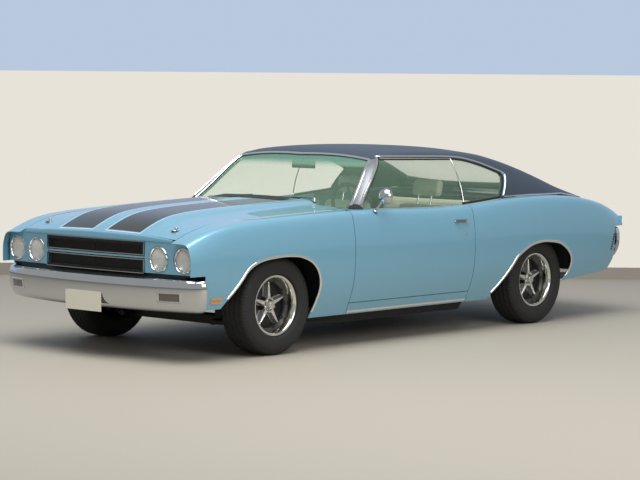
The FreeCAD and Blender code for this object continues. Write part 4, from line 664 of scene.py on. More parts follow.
def windshield_uv():
    """The windshield between its base and the header, across the whole car."""
    base_x, corner = shield_low[0] - 1.0, (shield_top_x, windshield_corner_y)
    header = even([corner, (0, windshield_top_y), (-corner[0], corner[1])], 70)
    base = cabin_top(windshield_base_y, np.linspace(base_x, -base_x, 70))
    left = roof_line(even([(base_x, windshield_base_y), (base_x, shield_low[1]), corner], 40))
    return fill(base, roof_line(header), left, over_middle(left))


def backlight_uv():
    """The rear window between the roof's edge and the deck."""
    x_share = np.linspace(1, -1, 60)
    top = cabin_top(backlight_top_y + 1, x_share * light_top_x)
    low = cabin_top(backlight_low_y - 1, x_share * light_low_x)
    return upright(low, top, 50)


def door_glass_uv():
    """The door's window, from below the belt to the roof's edge."""
    front_foot, front_top, rear_top = (-664.9, 890.0), (-294.3, 1260.5), (424.5, 1247.1)
    low = cabin_side(np.linspace(front_foot[0], rear_top[0], 60), front_foot[1])
    rear = cabin_side(rear_top[0], np.linspace(front_foot[1], rear_top[1], 40))
    front = even([front_foot, (-652.0, 948.0), front_top], 40)
    return fill(low, wall_line(even([front_top, rear_top], 60)), wall_line(front), rear)


def quarter_glass_uv():
    """The fixed quarter window: a straight front edge and a tail swept up and forward."""
    edges = (([0, 8, 7], 50), ([1, 2, 3, 4, 5], 50), ([0, 1], 40), ([7, 6, 5], 40))
    return fill(*(wall_line(even(quarter_window[corners], count)) for corners, count in edges))


quarter_panes = both_sides(pane(quarter_glass_uv(), (1, 0, 0)))
door_pane = pane(door_glass_uv(), (1, 0, 0))
panes = (
    ("windshield_pane", pane(windshield_uv(), (0, -1, 1)), banded_glass, "body", "windshield"),
    ("backlight_pane", pane(backlight_uv(), (0, 1, 1)), window_glass, "body", "back_glass"),
    ("quarter_panes", quarter_panes, window_glass, "body", "quarter_glass"),
    ("door_pane_left", door_pane, window_glass, "door_left", "door_glass_left"),
    ("door_pane_right", [swapped(g) for g in door_pane], window_glass, "door_right", "door_glass_right"),
)
for name, grids, glass, body, solid in panes:
    make_piece(name, grids, glass, body, replaces=[solid])

# Doors
# Long pressed doors hung at their front edge, each with a skin folded round a deep inner box.
# The skin runs from the sill gap to the lip of the glass slot.
door_line = np.linspace(door_front_y + gap, door_rear_y - gap, 70)
door_skin = side_skin(upright(side_at(door_line, door_bottom_z + gap), side_top(door_line, belt_lip_x), 60))
for hand, turn in both_hands:
    door = "door_" + hand
    make_piece("door_paint_" + hand, [turn(folded(door_skin, panel_fold))], lacquer, door)
    dress([door], lacquer)

# Hood
# A pressed lid with a raised centre, two broad black stripes laid over it and a thin line round each.
hood_front_y, hood_rear_y = -2352.0, -790.0
hood_half = hood_seam_x - panel_gap / 2
hood_stations = np.array([-2352.0, -2310.0, -2200.0, -2050.0, -1750.0, -1400.0, -1050.0, -790.0])
dome_rise_shares = np.array([0.0, 0.12, 0.55, 0.95, 1.0, 1.0, 1.0, 1.0])
dome_rise, hood_crown = 30.0, 26.0
hood_profile_shares = np.array([
    (1.0, 0.0, 0.0), (0.88, 0.25, 0.0), (0.76, 0.45, 0.0), (0.68, 0.6, 0.05), (0.63, 0.65, 0.85),
    (0.55, 0.72, 1.0), (0.30, 0.9, 1.0), (0.0, 1.0, 1.0),
])


def lid_net(stations, half_x, profile, crown, dome):
    """A lid's control points: a level edge at the seams, a crown and a raised centre."""
    z = top_z(stations)[:, None] + profile[None, :, 1] * crown + profile[None, :, 2] * dome[:, None]
    x = np.broadcast_to(profile[None, :, 0] * half_x, z.shape)
    x, z = np.concatenate([x, -x[:, -2::-1]], 1), np.concatenate([z, z[:, -2::-1]], 1)
    return np.stack([x, np.broadcast_to(stations[:, None], x.shape), z], -1)


hood_net = lid_net(hood_stations, hood_half, hood_profile_shares, hood_crown, dome_rise_shares * dome_rise)
stripe_inner_x, stripe_outer_x = 72.0, 376.0
line_gap, line_wide = 8.0, 6.0
line_far = line_gap + line_wide
stripe_front_y, stripe_rear_y = -2330.0, -800.0


def lid_grid(net, y, x):
    """Points of a lid's surface on a grid of lengths and breadths."""
    u = along_at(net, y)[:, None]
    u, x = np.broadcast_arrays(u, x[None])
    uv = np.stack([u, across_at(net, u, 0, x, 0.0, net.shape[1] - 3.0)], -1)
    return facing(on_net(net, uv) + normals_on(net, uv, out_up) * coat, out_up)


def stepped(breaks, counts):
    """Places from break to break, each stretch cut into its own number of steps."""
    runs = [np.linspace(a, b, n, endpoint=False) for a, b, n in zip(breaks, breaks[1:], counts)]
    return np.append(np.concatenate(runs), breaks[-1])


half_x = stepped([
    0.0, stripe_inner_x - line_far, stripe_inner_x - line_gap, stripe_inner_x,
    stripe_outer_x, stripe_outer_x + line_gap, stripe_outer_x + line_far, hood_half + coat / 2,
], (6, 1, 1, 16, 1, 1, 24))
hood_x = np.concatenate([-half_x[:0:-1], half_x])
hood_y = stepped([
    hood_front_y, stripe_front_y - line_far, stripe_front_y - line_gap, stripe_front_y,
    stripe_rear_y, hood_rear_y,
], (12, 1, 1, 100, 2))


def stripe_tints(y, x):
    """Which finish each cell of the hood has: lacquer, black stripe or thin light line."""
    cell_y, cell_x = (y[1:] + y[:-1]) / 2, np.abs((x[1:] + x[:-1]) / 2)
    cell_y, cell_x = np.meshgrid(cell_y, cell_x, indexing="ij")

    def within(spread):
        return (
            (cell_x > stripe_inner_x - spread) & (cell_x < stripe_outer_x + spread)
            & (cell_y > stripe_front_y - spread)
        )

    return np.where(within(0), 1, np.where(within(line_far) & ~within(line_gap), 2, 0))


# Stripes sprayed black under a thin clear coat: satin, with a sharper light on top.
stripe_black = finish_of("satin_black_stripe", "16181B", 0.35, Coat_Weight=0.6, Coat_Roughness=0.08)
# The thin lines are sprayed without the clear coat: pale and even.
stripe_line = finish_of("pale_stripe_line", "B9CDD8", 0.35)
hood_grid = lid_grid(hood_net, hood_y, hood_x)
tints = stripe_tints(hood_y, hood_x)
if hood_grid[0, 0, 1] > hood_grid[-1, 0, 1]:
    tints = tints[::-1]
tints = np.pad(tints, 1, mode="edge")
hood_finishes = [lacquer, stripe_black, stripe_line]
make_piece("hood_paint", [folded(hood_grid, panel_fold)], hood_finishes, "hood",
           tints=tints.ravel())
dress(["hood"], lacquer)

# Trunk lid
# A pressed lid, level with the quarters, that falls away to the tail.
lid_profile_shares = np.array([(1.0, 0.0, 0.0), (0.8, 0.45, 0.0), (0.5, 0.85, 0.0), (0.0, 1.0, 0.0)])
lid_stations = np.array([1592.0, 1680.0, 1850.0, 2050.0, 2200.0, 2300.0, 2372.0])
lid_crown, trunk_half = 22.0, deck_seam_x - panel_gap / 2
trunk_net = lid_net(lid_stations, trunk_half, lid_profile_shares, lid_crown, np.zeros(len(lid_stations)))
trunk_y = np.linspace(lid_stations[0], lid_stations[-1], 60)
trunk_skin = folded(lid_grid(trunk_net, trunk_y, np.linspace(-trunk_half, trunk_half, 60)), panel_fold)
make_piece("trunk_paint", [trunk_skin], lacquer, "trunk_lid")
dress(["trunk_lid", "nose_panel", "tail_panel"], lacquer)

# Headlamps
# Four sealed beams: a bright pressed ring, a fluted glass front and a silvered bowl behind it.
nose_centre_y, nose_sweep = -2392.0, 44.0
lamp_places, lamp_z, lamp_forward = (-795.0, -585.0, 585.0, 795.0), 659.0, 6.0
lamp_radius, bowl_radius, bowl_deep, lens_radius, lens_bulge = 83.5, 70, 34, 71, 9
# Chrome plate over polished nickel: a clean, slightly cool mirror.
chrome = finish_of("chrome_plate", "C6C9CC", 0.06, Metallic=1.0)


def nose_at(x):
    """How far forward the nose stands at a breadth."""
    return nose_centre_y + nose_sweep * (x / (half_width * 0.89)) ** 2


def turned(profile, centre, axis, steps=64, inward=False):
    """A profile of radius and length turned round an axis, its faces away from the profile's middle."""
    profile, axis = np.array(profile, float), np.array(axis, float)
    first = np.cross(axis, (0.0, 0.0, 1.0) if abs(axis[2]) < 0.9 else (1.0, 0.0, 0.0))
    first /= np.linalg.norm(first)
    second = np.cross(axis, first)
    angle = np.linspace(0, 2 * np.pi, steps + 1)[None, :, None]
    around = np.cos(angle) * first + np.sin(angle) * second
    points = np.array(centre, float) + profile[:, None, :1] * around + profile[:, None, 1:] * axis
    ring = np.array(centre, float) + profile[:, 0].mean() * around + profile[:, 1].mean() * axis
    cells = (points[1:, :-1] + points[:-1, 1:]) / 2
    normal = np.cross(points[:-1, 1:] - points[:-1, :-1], points[1:, :-1] - points[:-1, :-1])
    away = (normal * (cells - ring[:, :-1])).sum()
    return points if (away > 0) != inward else points[::-1]


# Pressed clear glass, its flutes too fine to show: the bowl is seen through it.
lens_glass = finish_of("fluted_lamp_glass", "EDF1F2", 0.06, Alpha=0.35, Specular_IOR_Level=0.8)
# Glass silvered inside the bowl: a soft bright mirror.
reflector = finish_of("silvered_reflector", "D5D3CB", 0.22, Metallic=0.9)
ring_profile = [
    (lamp_radius, 4), (lamp_radius, -5), (81, -9), (76, -10), (72, -6), (bowl_radius, 4), (lamp_radius, 4),
]
bowl = [(r, 8 + bowl_deep * (1 - (r / bowl_radius) ** 2)) for r in (0, 8, 20, 32, 44, 56, 66, bowl_radius)]
lens = [(r, -lens_bulge * (1 - (r / lens_radius) ** 2) - 2) for r in (0, 12, 26, 40, 52, 62, 68, lens_radius)]
rings, bowls, lenses = [], [], []
for x in lamp_places:
    centre = (x, nose_at(x) + lamp_forward, lamp_z)
    rings.append(turned(ring_profile, centre, (0, 1, 0), 72))
    bowls.append(turned(bowl, centre, (0, 1, 0), 48, inward=True))
    lenses.append(turned(lens, centre, (0, 1, 0), 48))
make_piece("headlamp_rings", rings, chrome, "body", replaces=["headlamps"])
make_piece("headlamp_bowls", bowls, reflector, "body")
make_piece("headlamp_lenses", lenses, lens_glass, "body")

# Header
# The painted strip above the grille and lamps, which closes the nose up to the hood's front edge.
header_low_z, header_least_z, header_gap, header_proud = 771.0, 784.0, 5.0, 1.6


def header_grid():
    """A rounded strip from the nose's upper front edge back to the hood."""
    x = np.linspace(-0.925 * half_width, 0.925 * half_width, 90)
    x = x[np.abs(x) < hood_half]
    hood_edge = lid_grid(hood_net, np.array([hood_front_y]), x)[0]
    hood_edge = hood_edge if hood_edge[0, 0] < hood_edge[-1, 0] else hood_edge[::-1]
    level = np.maximum(hood_edge[:, 2], header_least_z)
    front = nose_at(x) - header_proud
    rear = np.full(len(x), hood_front_y - header_gap)
    rows = [
        (front, np.full(len(x), header_low_z)), (front, level - 11), (front + 1.5, level - 5),
        (front + 5, level - 1.5), (front + 12, level), (rear - 5, level + 0.5), (rear, level - 1),
        (rear + 0.5, level - 12),
    ]
    return facing(np.stack([np.stack([x, y, z], -1) for y, z in rows]), (0, -1, 1))


make_piece("header_paint", [header_grid()], lacquer, "body")

# Grille
# A black moulded grille in two tiers of fine bars, each tier in a bright frame, parted by a
# painted bar and coming to a slight point in the middle.
grille_half, grille_low_z, grille_top_z = 466.0, 583.0, 747.0
grille_point, grille_back, grille_bar_z = 14.0, 8.0, (652.0, 678.0)
thin_bar_count, thin_bar_tall = 8, 2.6
grille_band, lip_proud = 19.0, 2.5


def grille_line(x, z, depth):
    """Points on the grille's face: it falls back evenly from its middle, by the share of the half width."""
    x, z = np.broadcast_arrays(np.asarray(x, float), np.asarray(z, float))
    y = nose_centre_y + grille_back + grille_point * np.abs(x) / grille_half + depth
    return np.stack([x, y, z], -1)


def square_bar(line, wide, tall, side_way=(0, 1, 0), up_way=(0, 0, 1)):
    """A bar of rectangular section along a line, closed at both ends."""
    side_way, up_way = np.array(side_way, float), np.array(up_way, float)
    corners = [(-1, -1), (1, -1), (1, 1), (-1, 1), (-1, -1)]
    rows = [line + a * side_way * wide / 2 + b * up_way * tall / 2 for a, b in corners]
    grid = np.stack(rows, 1)
    grid = np.concatenate([line[:1, None] + 0 * grid[:1], grid, line[-1:, None] + 0 * grid[-1:]])
    cells = (grid[1:, :-1] + grid[:-1, 1:]) / 2
    normal = np.cross(grid[:-1, 1:] - grid[:-1, :-1], grid[1:, :-1] - grid[:-1, :-1])
    away = (normal * (cells - grid[:-1, :4].mean(axis=1, keepdims=True))).sum()
    return grid if away > 0 else grid[::-1]


def lip_line(z):
    """A level line on the nose's front face, just proud of the paint."""
    x = np.linspace(-grille_half, grille_half, 41)
    return np.stack([x, nose_at(x) - lip_proud, np.full(len(x), z)], -1)


def grille_pieces():
    """The fine bars, the bright frames and the painted bar. On the nose's face a band of bars
    makes each tier taller than the opening behind it."""
    x = np.array([-grille_half, 0.0, grille_half])
    tiers = [(grille_low_z, grille_bar_z[0]), (grille_bar_z[1], grille_top_z)]
    fine, bright = [], []
    for low, top in tiers:
        for z in np.linspace(low, top, thin_bar_count + 2)[1:-1]:
            fine.append(square_bar(grille_line(x, z, 6.0), 10.0, thin_bar_tall))
        inner = top if low == grille_low_z else low
        outer, way = (low, -1.0) if low == grille_low_z else (top, 1.0)
        bright.append(square_bar(grille_line(x, inner + way * 3, 0.0), 9.0, 4.5))
        edge = outer + way * grille_band
        band = np.stack([lip_line(z) for z in (outer - way, edge)])
        fine.append(folded(facing(band, (0, -1, 0)), 3.0))
        for z in np.linspace(outer, edge, 4)[:-1]:
            fine.append(square_bar(lip_line(z) - [0, 2.0, 0], 4.0, thin_bar_tall))
        bright.append(square_bar(lip_line(edge) - [0, 2.0, 0], 6.0, 4.5))
        for post_x in (-grille_half + 3, grille_half - 3):
            post = np.array([(post_x, nose_at(post_x) - 3.0, z) for z in sorted((inner, edge))])
            bright.append(square_bar(post, 4.5, 7.0, (1, 0, 0), (0, 1, 0)))
        post = grille_line(np.zeros(2), np.array([low + 4, top - 4]), 2.0)
        fine.append(square_bar(post, 5.0, 8.0, (1, 0, 0), (0, 1, 0)))
    painted = square_bar(grille_line(x, sum(grille_bar_z) / 2, 2.0), 10.0, 12.0)
    back = np.stack([grille_line(x, z, 26.0) for z in (grille_low_z, grille_top_z)])
    lips = [square_bar(grille_line(x, z, 1.0), 10.0, 3.0) for z in grille_bar_z]
    return fine + [facing(back, (0, -1, 0))], bright + lips, [painted]


# Plastic moulded in a smooth die: near black, with a broad dull light.
grille_black = finish_of("black_moulded_plastic", "0B0C0E", 0.45)
fine, bright, painted = grille_pieces()
make_piece("grille_bars", fine, grille_black, "body", replaces=["grille"])
make_piece("grille_frames", bright, chrome, "body")
make_piece("grille_painted_bar", painted, lacquer, "body")

# Bumpers
# Pressed steel bars under bright chrome, wrapped round the corners and carried by arms on the frame.
# The front one is drawn anew, lower than its solid; the rear one is the solid itself.
bumper_plan_shares = np.array([
    (0.0, -1.0), (0.30, -0.998), (0.56, -0.984), (0.78, -0.966), (0.925, -0.944), (0.972, -0.925),
    (0.981, -0.911),
])
bumper_section = np.array([
    (-74.0, 540.0), (-30.0, 546.0), (-4.0, 528.0), (0.0, 484.0), (-3.0, 420.0), (-16.0, 362.0),
    (-48.0, 324.0), (-76.0, 328.0),
])
bumper_thick = 5.0
bumper_plan = bumper_plan_shares * [half_width, half_length]


def bumper_points():
    """The bumper's control points: the section stood off the plan line along its outward side."""
    plan = np.concatenate([bumper_plan[:0:-1] * [-1, 1], bumper_plan])
    number = np.arange(len(plan))
    steps = plan[np.minimum(number + 1, number[-1])] - plan[np.maximum(number - 1, 0)]
    outward = np.stack([steps[:, 1], -steps[:, 0]], -1)
    outward /= np.linalg.norm(outward, axis=1, keepdims=True)
    flat = plan[:, None] + outward[:, None] * bumper_section[None, :, :1]
    z = np.broadcast_to(bumper_section[None, :, 1:], (len(plan), len(bumper_section), 1))
    return np.concatenate([flat, z], -1)


def bumper_skin(net):
    """The bumper's bright outer face and its inner face, joined round the edges."""
    u, v = np.linspace(0, net.shape[0] - 3, 160), np.linspace(0, net.shape[1] - 3, 40)
    uv = np.stack(np.meshgrid(u, v, indexing="ij"), -1)
    outer = facing(on_net(net, uv), (0, -1, 0))
    inner = outer - grid_normals(outer) * bumper_thick
    rims = [np.stack([outer[k], inner[k]]) for k in (0, -1)]
    rims += [np.stack([outer[:, k], inner[:, k]]) for k in (0, -1)]
    return [outer, inner[::-1]] + rims


bumper_net = bumper_points()
make_piece("front_bumper_chrome", bumper_skin(bumper_net), chrome, "body",
           replaces=["front_bumper"])
dress(["rear_bumper"], chrome)

# Painted shade below the nose
# # A black panel that closes the gap between the nose and the bumper's upper edge: painted shade, a dark
# sheet set where the gap lies in shadow.
gap_shade_half, gap_shade_fold = 870.0, 3.0
gap_shade_x = np.linspace(-gap_shade_half, gap_shade_half, 60)
bumper_line = np.interp(np.abs(gap_shade_x), bumper_plan[:, 0], bumper_plan[:, 1])
gap_shade_rows = [
    (nose_at(gap_shade_x) + 24.0, 576.0), (nose_at(gap_shade_x) + 20.0, 556.0), (bumper_line + 92.0, 516.0),
]
gap_shade = np.stack([np.stack([gap_shade_x, y, np.full(60, z)], -1) for y, z in gap_shade_rows])
gap_shade = folded(facing(gap_shade, (0, -0.4, 1)), gap_shade_fold)
# The black finish of this panel is painted shade for the dark gap under the grille.
make_piece("gap_shade_panel", [gap_shade], grille_black, "body")

# Parking lamps
# Oblong lamps sunk in the bumper, each behind a dark lens in a bright bevelled frame.
parking_x, parking_z = (640.0, 815.0), (392.0, 462.0)


def bumper_at(x, z, proud):
    """Points on the bumper's face at places given by breadth and height, stood proud of it."""
    table_u = np.linspace(0, len(bumper_net) - 3, 1500)
    table_x = spline_weights(len(bumper_net), table_u) @ bumper_net[:, 3, 0]
    u = np.interp(x, table_x, table_u)
    uv = np.stack([u, across_at(bumper_net, u, 2, z, 1.2, 4.6)], -1)
    return on_net(bumper_net, uv) + normals_on(bumper_net, uv, (0, -1, 0)) * proud


def lamp_frame(sign):
    """The bevelled frame of one lamp: a rim of three rings round the lens."""
    rings_here = []
    for spread, proud in ((0.0, 0.4), (6.0, 5.0), (13.0, 5.0), (18.0, -1.0)):
        low_x, high_x = parking_x[0] + spread, parking_x[1] - spread
        low_z, high_z = parking_z[0] + spread * 0.8, parking_z[1] - spread * 0.8
        corners = [(low_x, low_z), (high_x, low_z), (high_x, high_z), (low_x, high_z), (low_x, low_z)]
        ring = even(corners, 61)
        rings_here.append(bumper_at(sign * ring[:, 0], ring[:, 1], proud))
    return facing(np.stack(rings_here), (0, -1, 0))


def lamp_lens(sign):
    """The dark lens inside one frame."""
    x = np.linspace(parking_x[0] + 17, parking_x[1] - 17, 24)
    z = np.linspace(parking_z[0] + 13, parking_z[1] - 13, 10)
    x, z = np.meshgrid(x, z)
    return facing(bumper_at(sign * x, z, 1.5), (0, -1, 0))


# Smoked plastic, moulded smooth: a dark warm grey with a glossy face.
parking_lens = finish_of("smoked_parking_lens", "5A524B", 0.15, Coat_Weight=0.5)
make_piece("parking_lamp_frames", [lamp_frame(s) for s in (1, -1)], chrome, "body")
make_piece("parking_lamp_lenses", [lamp_lens(s) for s in (1, -1)], parking_lens, "body")

# Front number plate
# A blank pressed plate in a holder on the bumper's middle.
plate_x, plate_z, plate_y, plate_thick = (-148.0, 192.0), (304.0, 432.0), -2501.0, 3.0
# Baked enamel on pressed steel: an even cream, half glossy.
plate_paint = finish_of("cream_plate_enamel", "DAD6C6", 0.35)
plate_line = np.array([(x, plate_y, sum(plate_z) / 2) for x in plate_x])
plate = square_bar(plate_line, plate_thick, plate_z[1] - plate_z[0])
make_piece("front_plate", [plate], plate_paint, "body")

# Tyres
# Black rubber radials, moulded with a wide tread of zigzag ribs, round shoulders and thin wall ribs.
track, rubber_grain_mm, rubber_grain_deep = 1524.0, 2.0, 0.3
tread_zigzags, groove_deep, groove_half, groove_places = 44, 6.0, 4.0, (-62.0, -22.0, 22.0, 62.0)
# Rubber from a blasted mould: dull black, its fine pores drawn coarser than they are.
rubber = finish_of("tyre_rubber", "1B1B1B", 0.72)
grain(rubber, rubber_grain_mm, rubber_grain_deep, 0.4)
tyre_half = np.array([
    (94.0, 204.0), (104.0, 208.0), (113.0, 225.0), (117.5, 250.0), (116.5, 278.0), (109.0, 300.0),
    (100.0, 314.0), (88.0, 323.0), (70.0, 326.5), (35.0, 328.0),
])
tyre_profile = np.concatenate([tyre_half * [-1, 1], [(0.0, tyre_radius)], tyre_half[::-1]])
rib_radii = (216.0, 222.0, 290.0)


def tyre_grid(centre_x, axle_y):
    """A tyre: its profile turned, less the depth of zigzag grooves round it and of cuts in the shoulders,
    and with a small rise at each rib of the wall."""
    line = even(through(tyre_profile, 300), 68)
    angle = np.linspace(0, 2 * np.pi, 397)
    across, radius = line[:, :1], line[:, 1:]
    zigzag = 4.0 * np.abs((angle * tread_zigzags / np.pi) % 2 - 1)[None] - 2.0
    cut = np.zeros((len(line), len(angle)))
    for place in groove_places:
        off = np.abs(across - place - zigzag)
        cut = np.maximum(cut, np.clip((groove_half + 2 - off) / 3, 0, 1))
    shoulder = (np.abs(across) > 78) & (radius > 300)
    notch = np.clip(np.cos(angle * tread_zigzags * 2)[None] * 3 - 1.6, 0, 1)
    cut = np.maximum(cut, shoulder * notch * 0.6)
    rise = sum(np.exp(-((radius - r) / 2.0) ** 2) for r in rib_radii) * (np.abs(across) > 100)
    r = radius - cut * groove_deep * (radius > 295)
    x = centre_x + across + np.sign(across) * rise * 1.2 + 0 * angle[None]
    points = np.stack([x, axle_y + r * np.sin(angle)[None], tyre_radius + r * np.cos(angle)[None]], -1)
    tread_row, tread_column = 40, 100
    tread = points[tread_row, tread_column] - [centre_x, axle_y, tyre_radius]
    return points if grid_normals(points)[tread_row, tread_column] @ tread > 0 else points[::-1]


# Wheels
# Steel wheels with five ribbed spokes in bright metal, black wells between them, a charcoal hub
# and rim edge, a polished stainless ring round the rim, a small cap and five bright nuts.
# Sprayed charcoal with metal flake: a dark grey with a soft shine.
spoke_paint = finish_of("charcoal_wheel_paint", "4A4B4C", 0.35, Metallic=0.4)
# Machined spoke faces under clear lacquer: bright, a little soft.
spoke_edge = finish_of("bright_spoke_edge", "D7D8D6", 0.25, Metallic=0.8)
# Wells sprayed black: nearly no light comes back from them.
well_black = finish_of("black_wheel_paint", "0C0C0D", 0.5)
# Stainless polished on a wheel: a clear, slightly warm mirror.
polished = finish_of("polished_stainless", "D8D6D0", 0.12, Metallic=1.0)
spoke_count, ring_radius = 5, 172.0
rim_profile = np.array([
    (170.0, 14.0), (172.0, 30.0), (175.0, 58.0), (180.0, 80.0), (187.0, 91.0), (194.0, 95.5), (200.0, 95.0),
    (202.8, 92.0), (202.8, 86.0),
])
barrel_profile = np.array([
    (202.8, 86.0), (190.0, 60.0), (182.0, -60.0), (202.8, -88.0), (196.0, -90.0), (166.0, -50.0), (170, 14),
])
spoke_face, well_floor = 30.0, -6.0


def spoke_disc(side_sign, centre):
    """The spoke disc as depth over radius and angle: five narrow ridges that rise from deep wells,
    a grooved face on each, a hub's flat and a ring at the rim, with the colours by place."""
    radius = np.concatenate([np.linspace(0, 56, 9), np.linspace(58, ring_radius, 46)])[:, None]
    angle = np.linspace(0, 2 * np.pi, 361)[None]
    turn = (angle * spoke_count / (2 * np.pi) + 0.5) % 1 - 0.5
    off = np.abs(turn) * 2 * np.pi / spoke_count * np.maximum(radius, 30.0)
    wide = 19.0 - 8.0 * np.clip((radius - 56) / 100, 0, 1)
    ridge = np.clip((wide - off) / 7.0, 0, 1)
    hub = np.clip((60.0 - radius) / 8.0, 0, 1)
    rim_join = np.clip((radius - 146.0) / 8.0, 0, 1)
    raised = np.maximum(np.maximum(ridge, hub), rim_join)
    groove = np.clip(1 - off / 5.0, 0, 1) * (radius > 66) * (radius < 150) * 5.0
    slots = np.clip(np.cos(angle * spoke_count * 2 + np.pi) * 4 - 2.6, 0, 1)
    slots = slots * (np.abs(radius - 160) < 6) * 9.0
    face = spoke_face + 8.0 * (1 - radius / ring_radius)
    x = well_floor + (face - well_floor) * raised - groove - slots
    y, z = radius * np.sin(angle), radius * np.cos(angle)
    points = np.stack([x * side_sign, y, z], -1) + centre
    turned_points = facing(points, (side_sign, 0, 0))
    bright = (off < wide + 3.0) & (radius > 44) & (radius < 150)
    kinds = np.where(bright, 0, np.where(raised > 0.9, 1, 2))
    kinds = np.where(slots > 2.0, 2, kinds)
    if turned_points is not points:
        kinds = kinds[::-1]
    return turned_points, kinds[1:, 1:]


nut_circle = 44.0
cap = [(0, 58), (14, 58), (15, 61), (24, 61), (28, 56), (30, 46), (36, 38)]
nut = [(0, 44), (6, 43.5), (9.5, 40), (10, 24)]
for place, axle_y in (("front", front_axle_y), ("rear", rear_axle_y)):
    for hand, side_sign in (("left", 1), ("right", -1)):
        corner, body = place + "_" + hand, "wheel_" + place + "_" + hand
        centre = np.array([side_sign * track / 2, axle_y, tyre_radius])
        make_piece("tyre_rubber_" + corner, [tyre_grid(centre[0], axle_y)], rubber, body, 50.0,
                   ["tyre_" + corner])
        axis = (side_sign, 0, 0)
        ring = turned(even(through(rim_profile, 200), 30), centre, axis, 120)
        make_piece("trim_ring_" + corner, [ring], polished, body)
        disc, tints = spoke_disc(side_sign, centre)
        make_piece("spokes_" + corner, [disc], [spoke_edge, spoke_paint, well_black], body, 40.0,
                   ["rim_" + corner], tints.ravel())
        barrel = turned(barrel_profile, centre, axis, 72)
        make_piece("barrel_" + corner, [barrel], well_black, body)
        nuts = [turned(cap, centre, axis, 40)]
        for k in range(spoke_count):
            angle = 2 * np.pi * (k + 0.5) / spoke_count
            nut_place = centre + np.array([0, np.sin(angle), np.cos(angle)]) * nut_circle
            nuts.append(turned(nut, nut_place, axis, 6))
        make_piece("cap_and_nuts_" + corner, nuts, polished, body)
# Rough cast iron: a dull brown grey.
dress(["knuckle_left", "knuckle_right"], finish_of("cast_iron", "3A3836", 0.7, Metallic=0.3))

# Seats
# Buckets and a bench of foam and springs under sewn vinyl: blown up as cloth over their blanks,
# then drawn down along the seams of the pleated inserts.
# Printed vinyl, sewn: a pale green white with soft lights, its grain drawn coarser than it is.
seat_vinyl = finish_of("sewn_seat_vinyl", "C4C8AE", 0.45)
seat_grain_mm, seat_grain_deep = 2.5, 0.4
grain(seat_vinyl, seat_grain_mm, seat_grain_deep, 0.5)
pad_shrink, pad_cap, pad_voxel, pad_pressure, pad_frames = 9.0, 13.0, 17.0, 4.0, 20
seam_step, seam_wide, seam_deep = 62.0, 6.0, 7.0


def baked(piece):
    """The piece's mesh as its modifiers leave it, with the modifiers taken off."""
    graph = bpy.context.evaluated_depsgraph_get()
    mesh = bpy.data.meshes.new_from_object(piece.evaluated_get(graph))
    piece.modifiers.clear()
    piece.data = mesh
    return mesh


def coordinates(mesh):
    """The places of a mesh's vertices as one array of rows."""
    values = np.empty(len(mesh.vertices) * 3)
    mesh.vertices.foreach_get("co", values)
    return values.reshape(-1, 3)


def stuffed(name, half, deep, tall, round_mm, lean, place, pleated):
    """One pad: a rounded blank made into cloth and blown up, capped, subdivided and pleated, then
    leant back by an angle about its lower front edge and set in its place."""
    work = bmesh.new()
    bmesh.ops.create_cube(work, size=1.0)
    size = np.array([half * 2, deep, tall]) - 2 * pad_shrink
    for corner in work.verts:
        x, y, z = (np.array(corner.co) * size + [0, deep / 2, tall / 2]) * metre
        corner.co = (x, y, z)
    bmesh.ops.bevel(
        work, geom=work.edges[:], offset=round_mm * 0.8 * metre, segments=4, profile=0.5, affect="EDGES"
    )
    mesh = bpy.data.meshes.new(name)
    work.to_mesh(mesh)
    work.free()
    pad = bpy.data.objects.new(name, mesh)
    bpy.context.scene.collection.objects.link(pad)
    blank = pad.modifiers.new("blank", "REMESH")
    blank.mode, blank.voxel_size = "VOXEL", pad_voxel * metre
    rest = coordinates(baked(pad))
    cloth = pad.modifiers.new("stuffing", "CLOTH").settings
    cloth.use_pressure, cloth.uniform_pressure_force = True, pad_pressure
    cloth.effector_weights.gravity = 0.0
    for number in range(1, pad_frames + 1):
        bpy.context.scene.frame_set(number)
    blown = coordinates(baked(pad))
    bpy.context.scene.frame_set(1)
    moved = blown - rest
    run = np.linalg.norm(moved, axis=1, keepdims=True)
    rest = rest + moved * np.minimum(1.0, pad_cap * metre / np.maximum(run, 1e-9))
    pad.data.vertices.foreach_set("co", rest.ravel())
    pad.modifiers.new("smooth", "SUBSURF").levels = 1
    mesh = baked(pad)
    points = coordinates(mesh) / metre
    top, along, reach, sign = (2, 1, deep, -1) if pleated == "top" else (1, 2, tall, 1)
    facing_out = points[:, 2] > tall * 0.6 if pleated == "top" else points[:, 1] < deep * 0.4
    run = points[:, along]
    inside = (np.abs(points[:, 0]) < half * 0.68) & (run > reach * 0.14) & (run < reach * 0.9)
    off = (run % seam_step) - seam_step / 2
    points[:, top] += sign * np.exp(-(off / seam_wide) ** 2) * seam_deep * (inside & facing_out)
    turn = math.radians(-lean)
    y, z = points[:, 1].copy(), points[:, 2].copy()
    points[:, 1] = y * math.cos(turn) - z * math.sin(turn)
    points[:, 2] = y * math.sin(turn) + z * math.cos(turn)
    mesh.vertices.foreach_set("co", ((points + np.array(place, float)) * metre).ravel())
    mesh.materials.clear()
    mesh.materials.append(seat_vinyl)
    mesh.polygons.foreach_set("use_smooth", np.ones(len(mesh.polygons), bool))
    return pad


def fitted(pad, replaced=()):
    """Puts a pad on the body and hides the parts it replaces."""
    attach(pad, "body")
    if replaced:
        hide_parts(*replaced)


def second_of(pad, name, shift_x):
    """The same pad again for the other seat."""
    twin = pad.copy()
    twin.data = pad.data.copy()
    twin.name, twin.data.name = name, name
    points = coordinates(twin.data)
    points[:, 0] += shift_x * metre
    twin.data.vertices.foreach_set("co", points.ravel())
    bpy.context.scene.collection.objects.link(twin)
    return twin


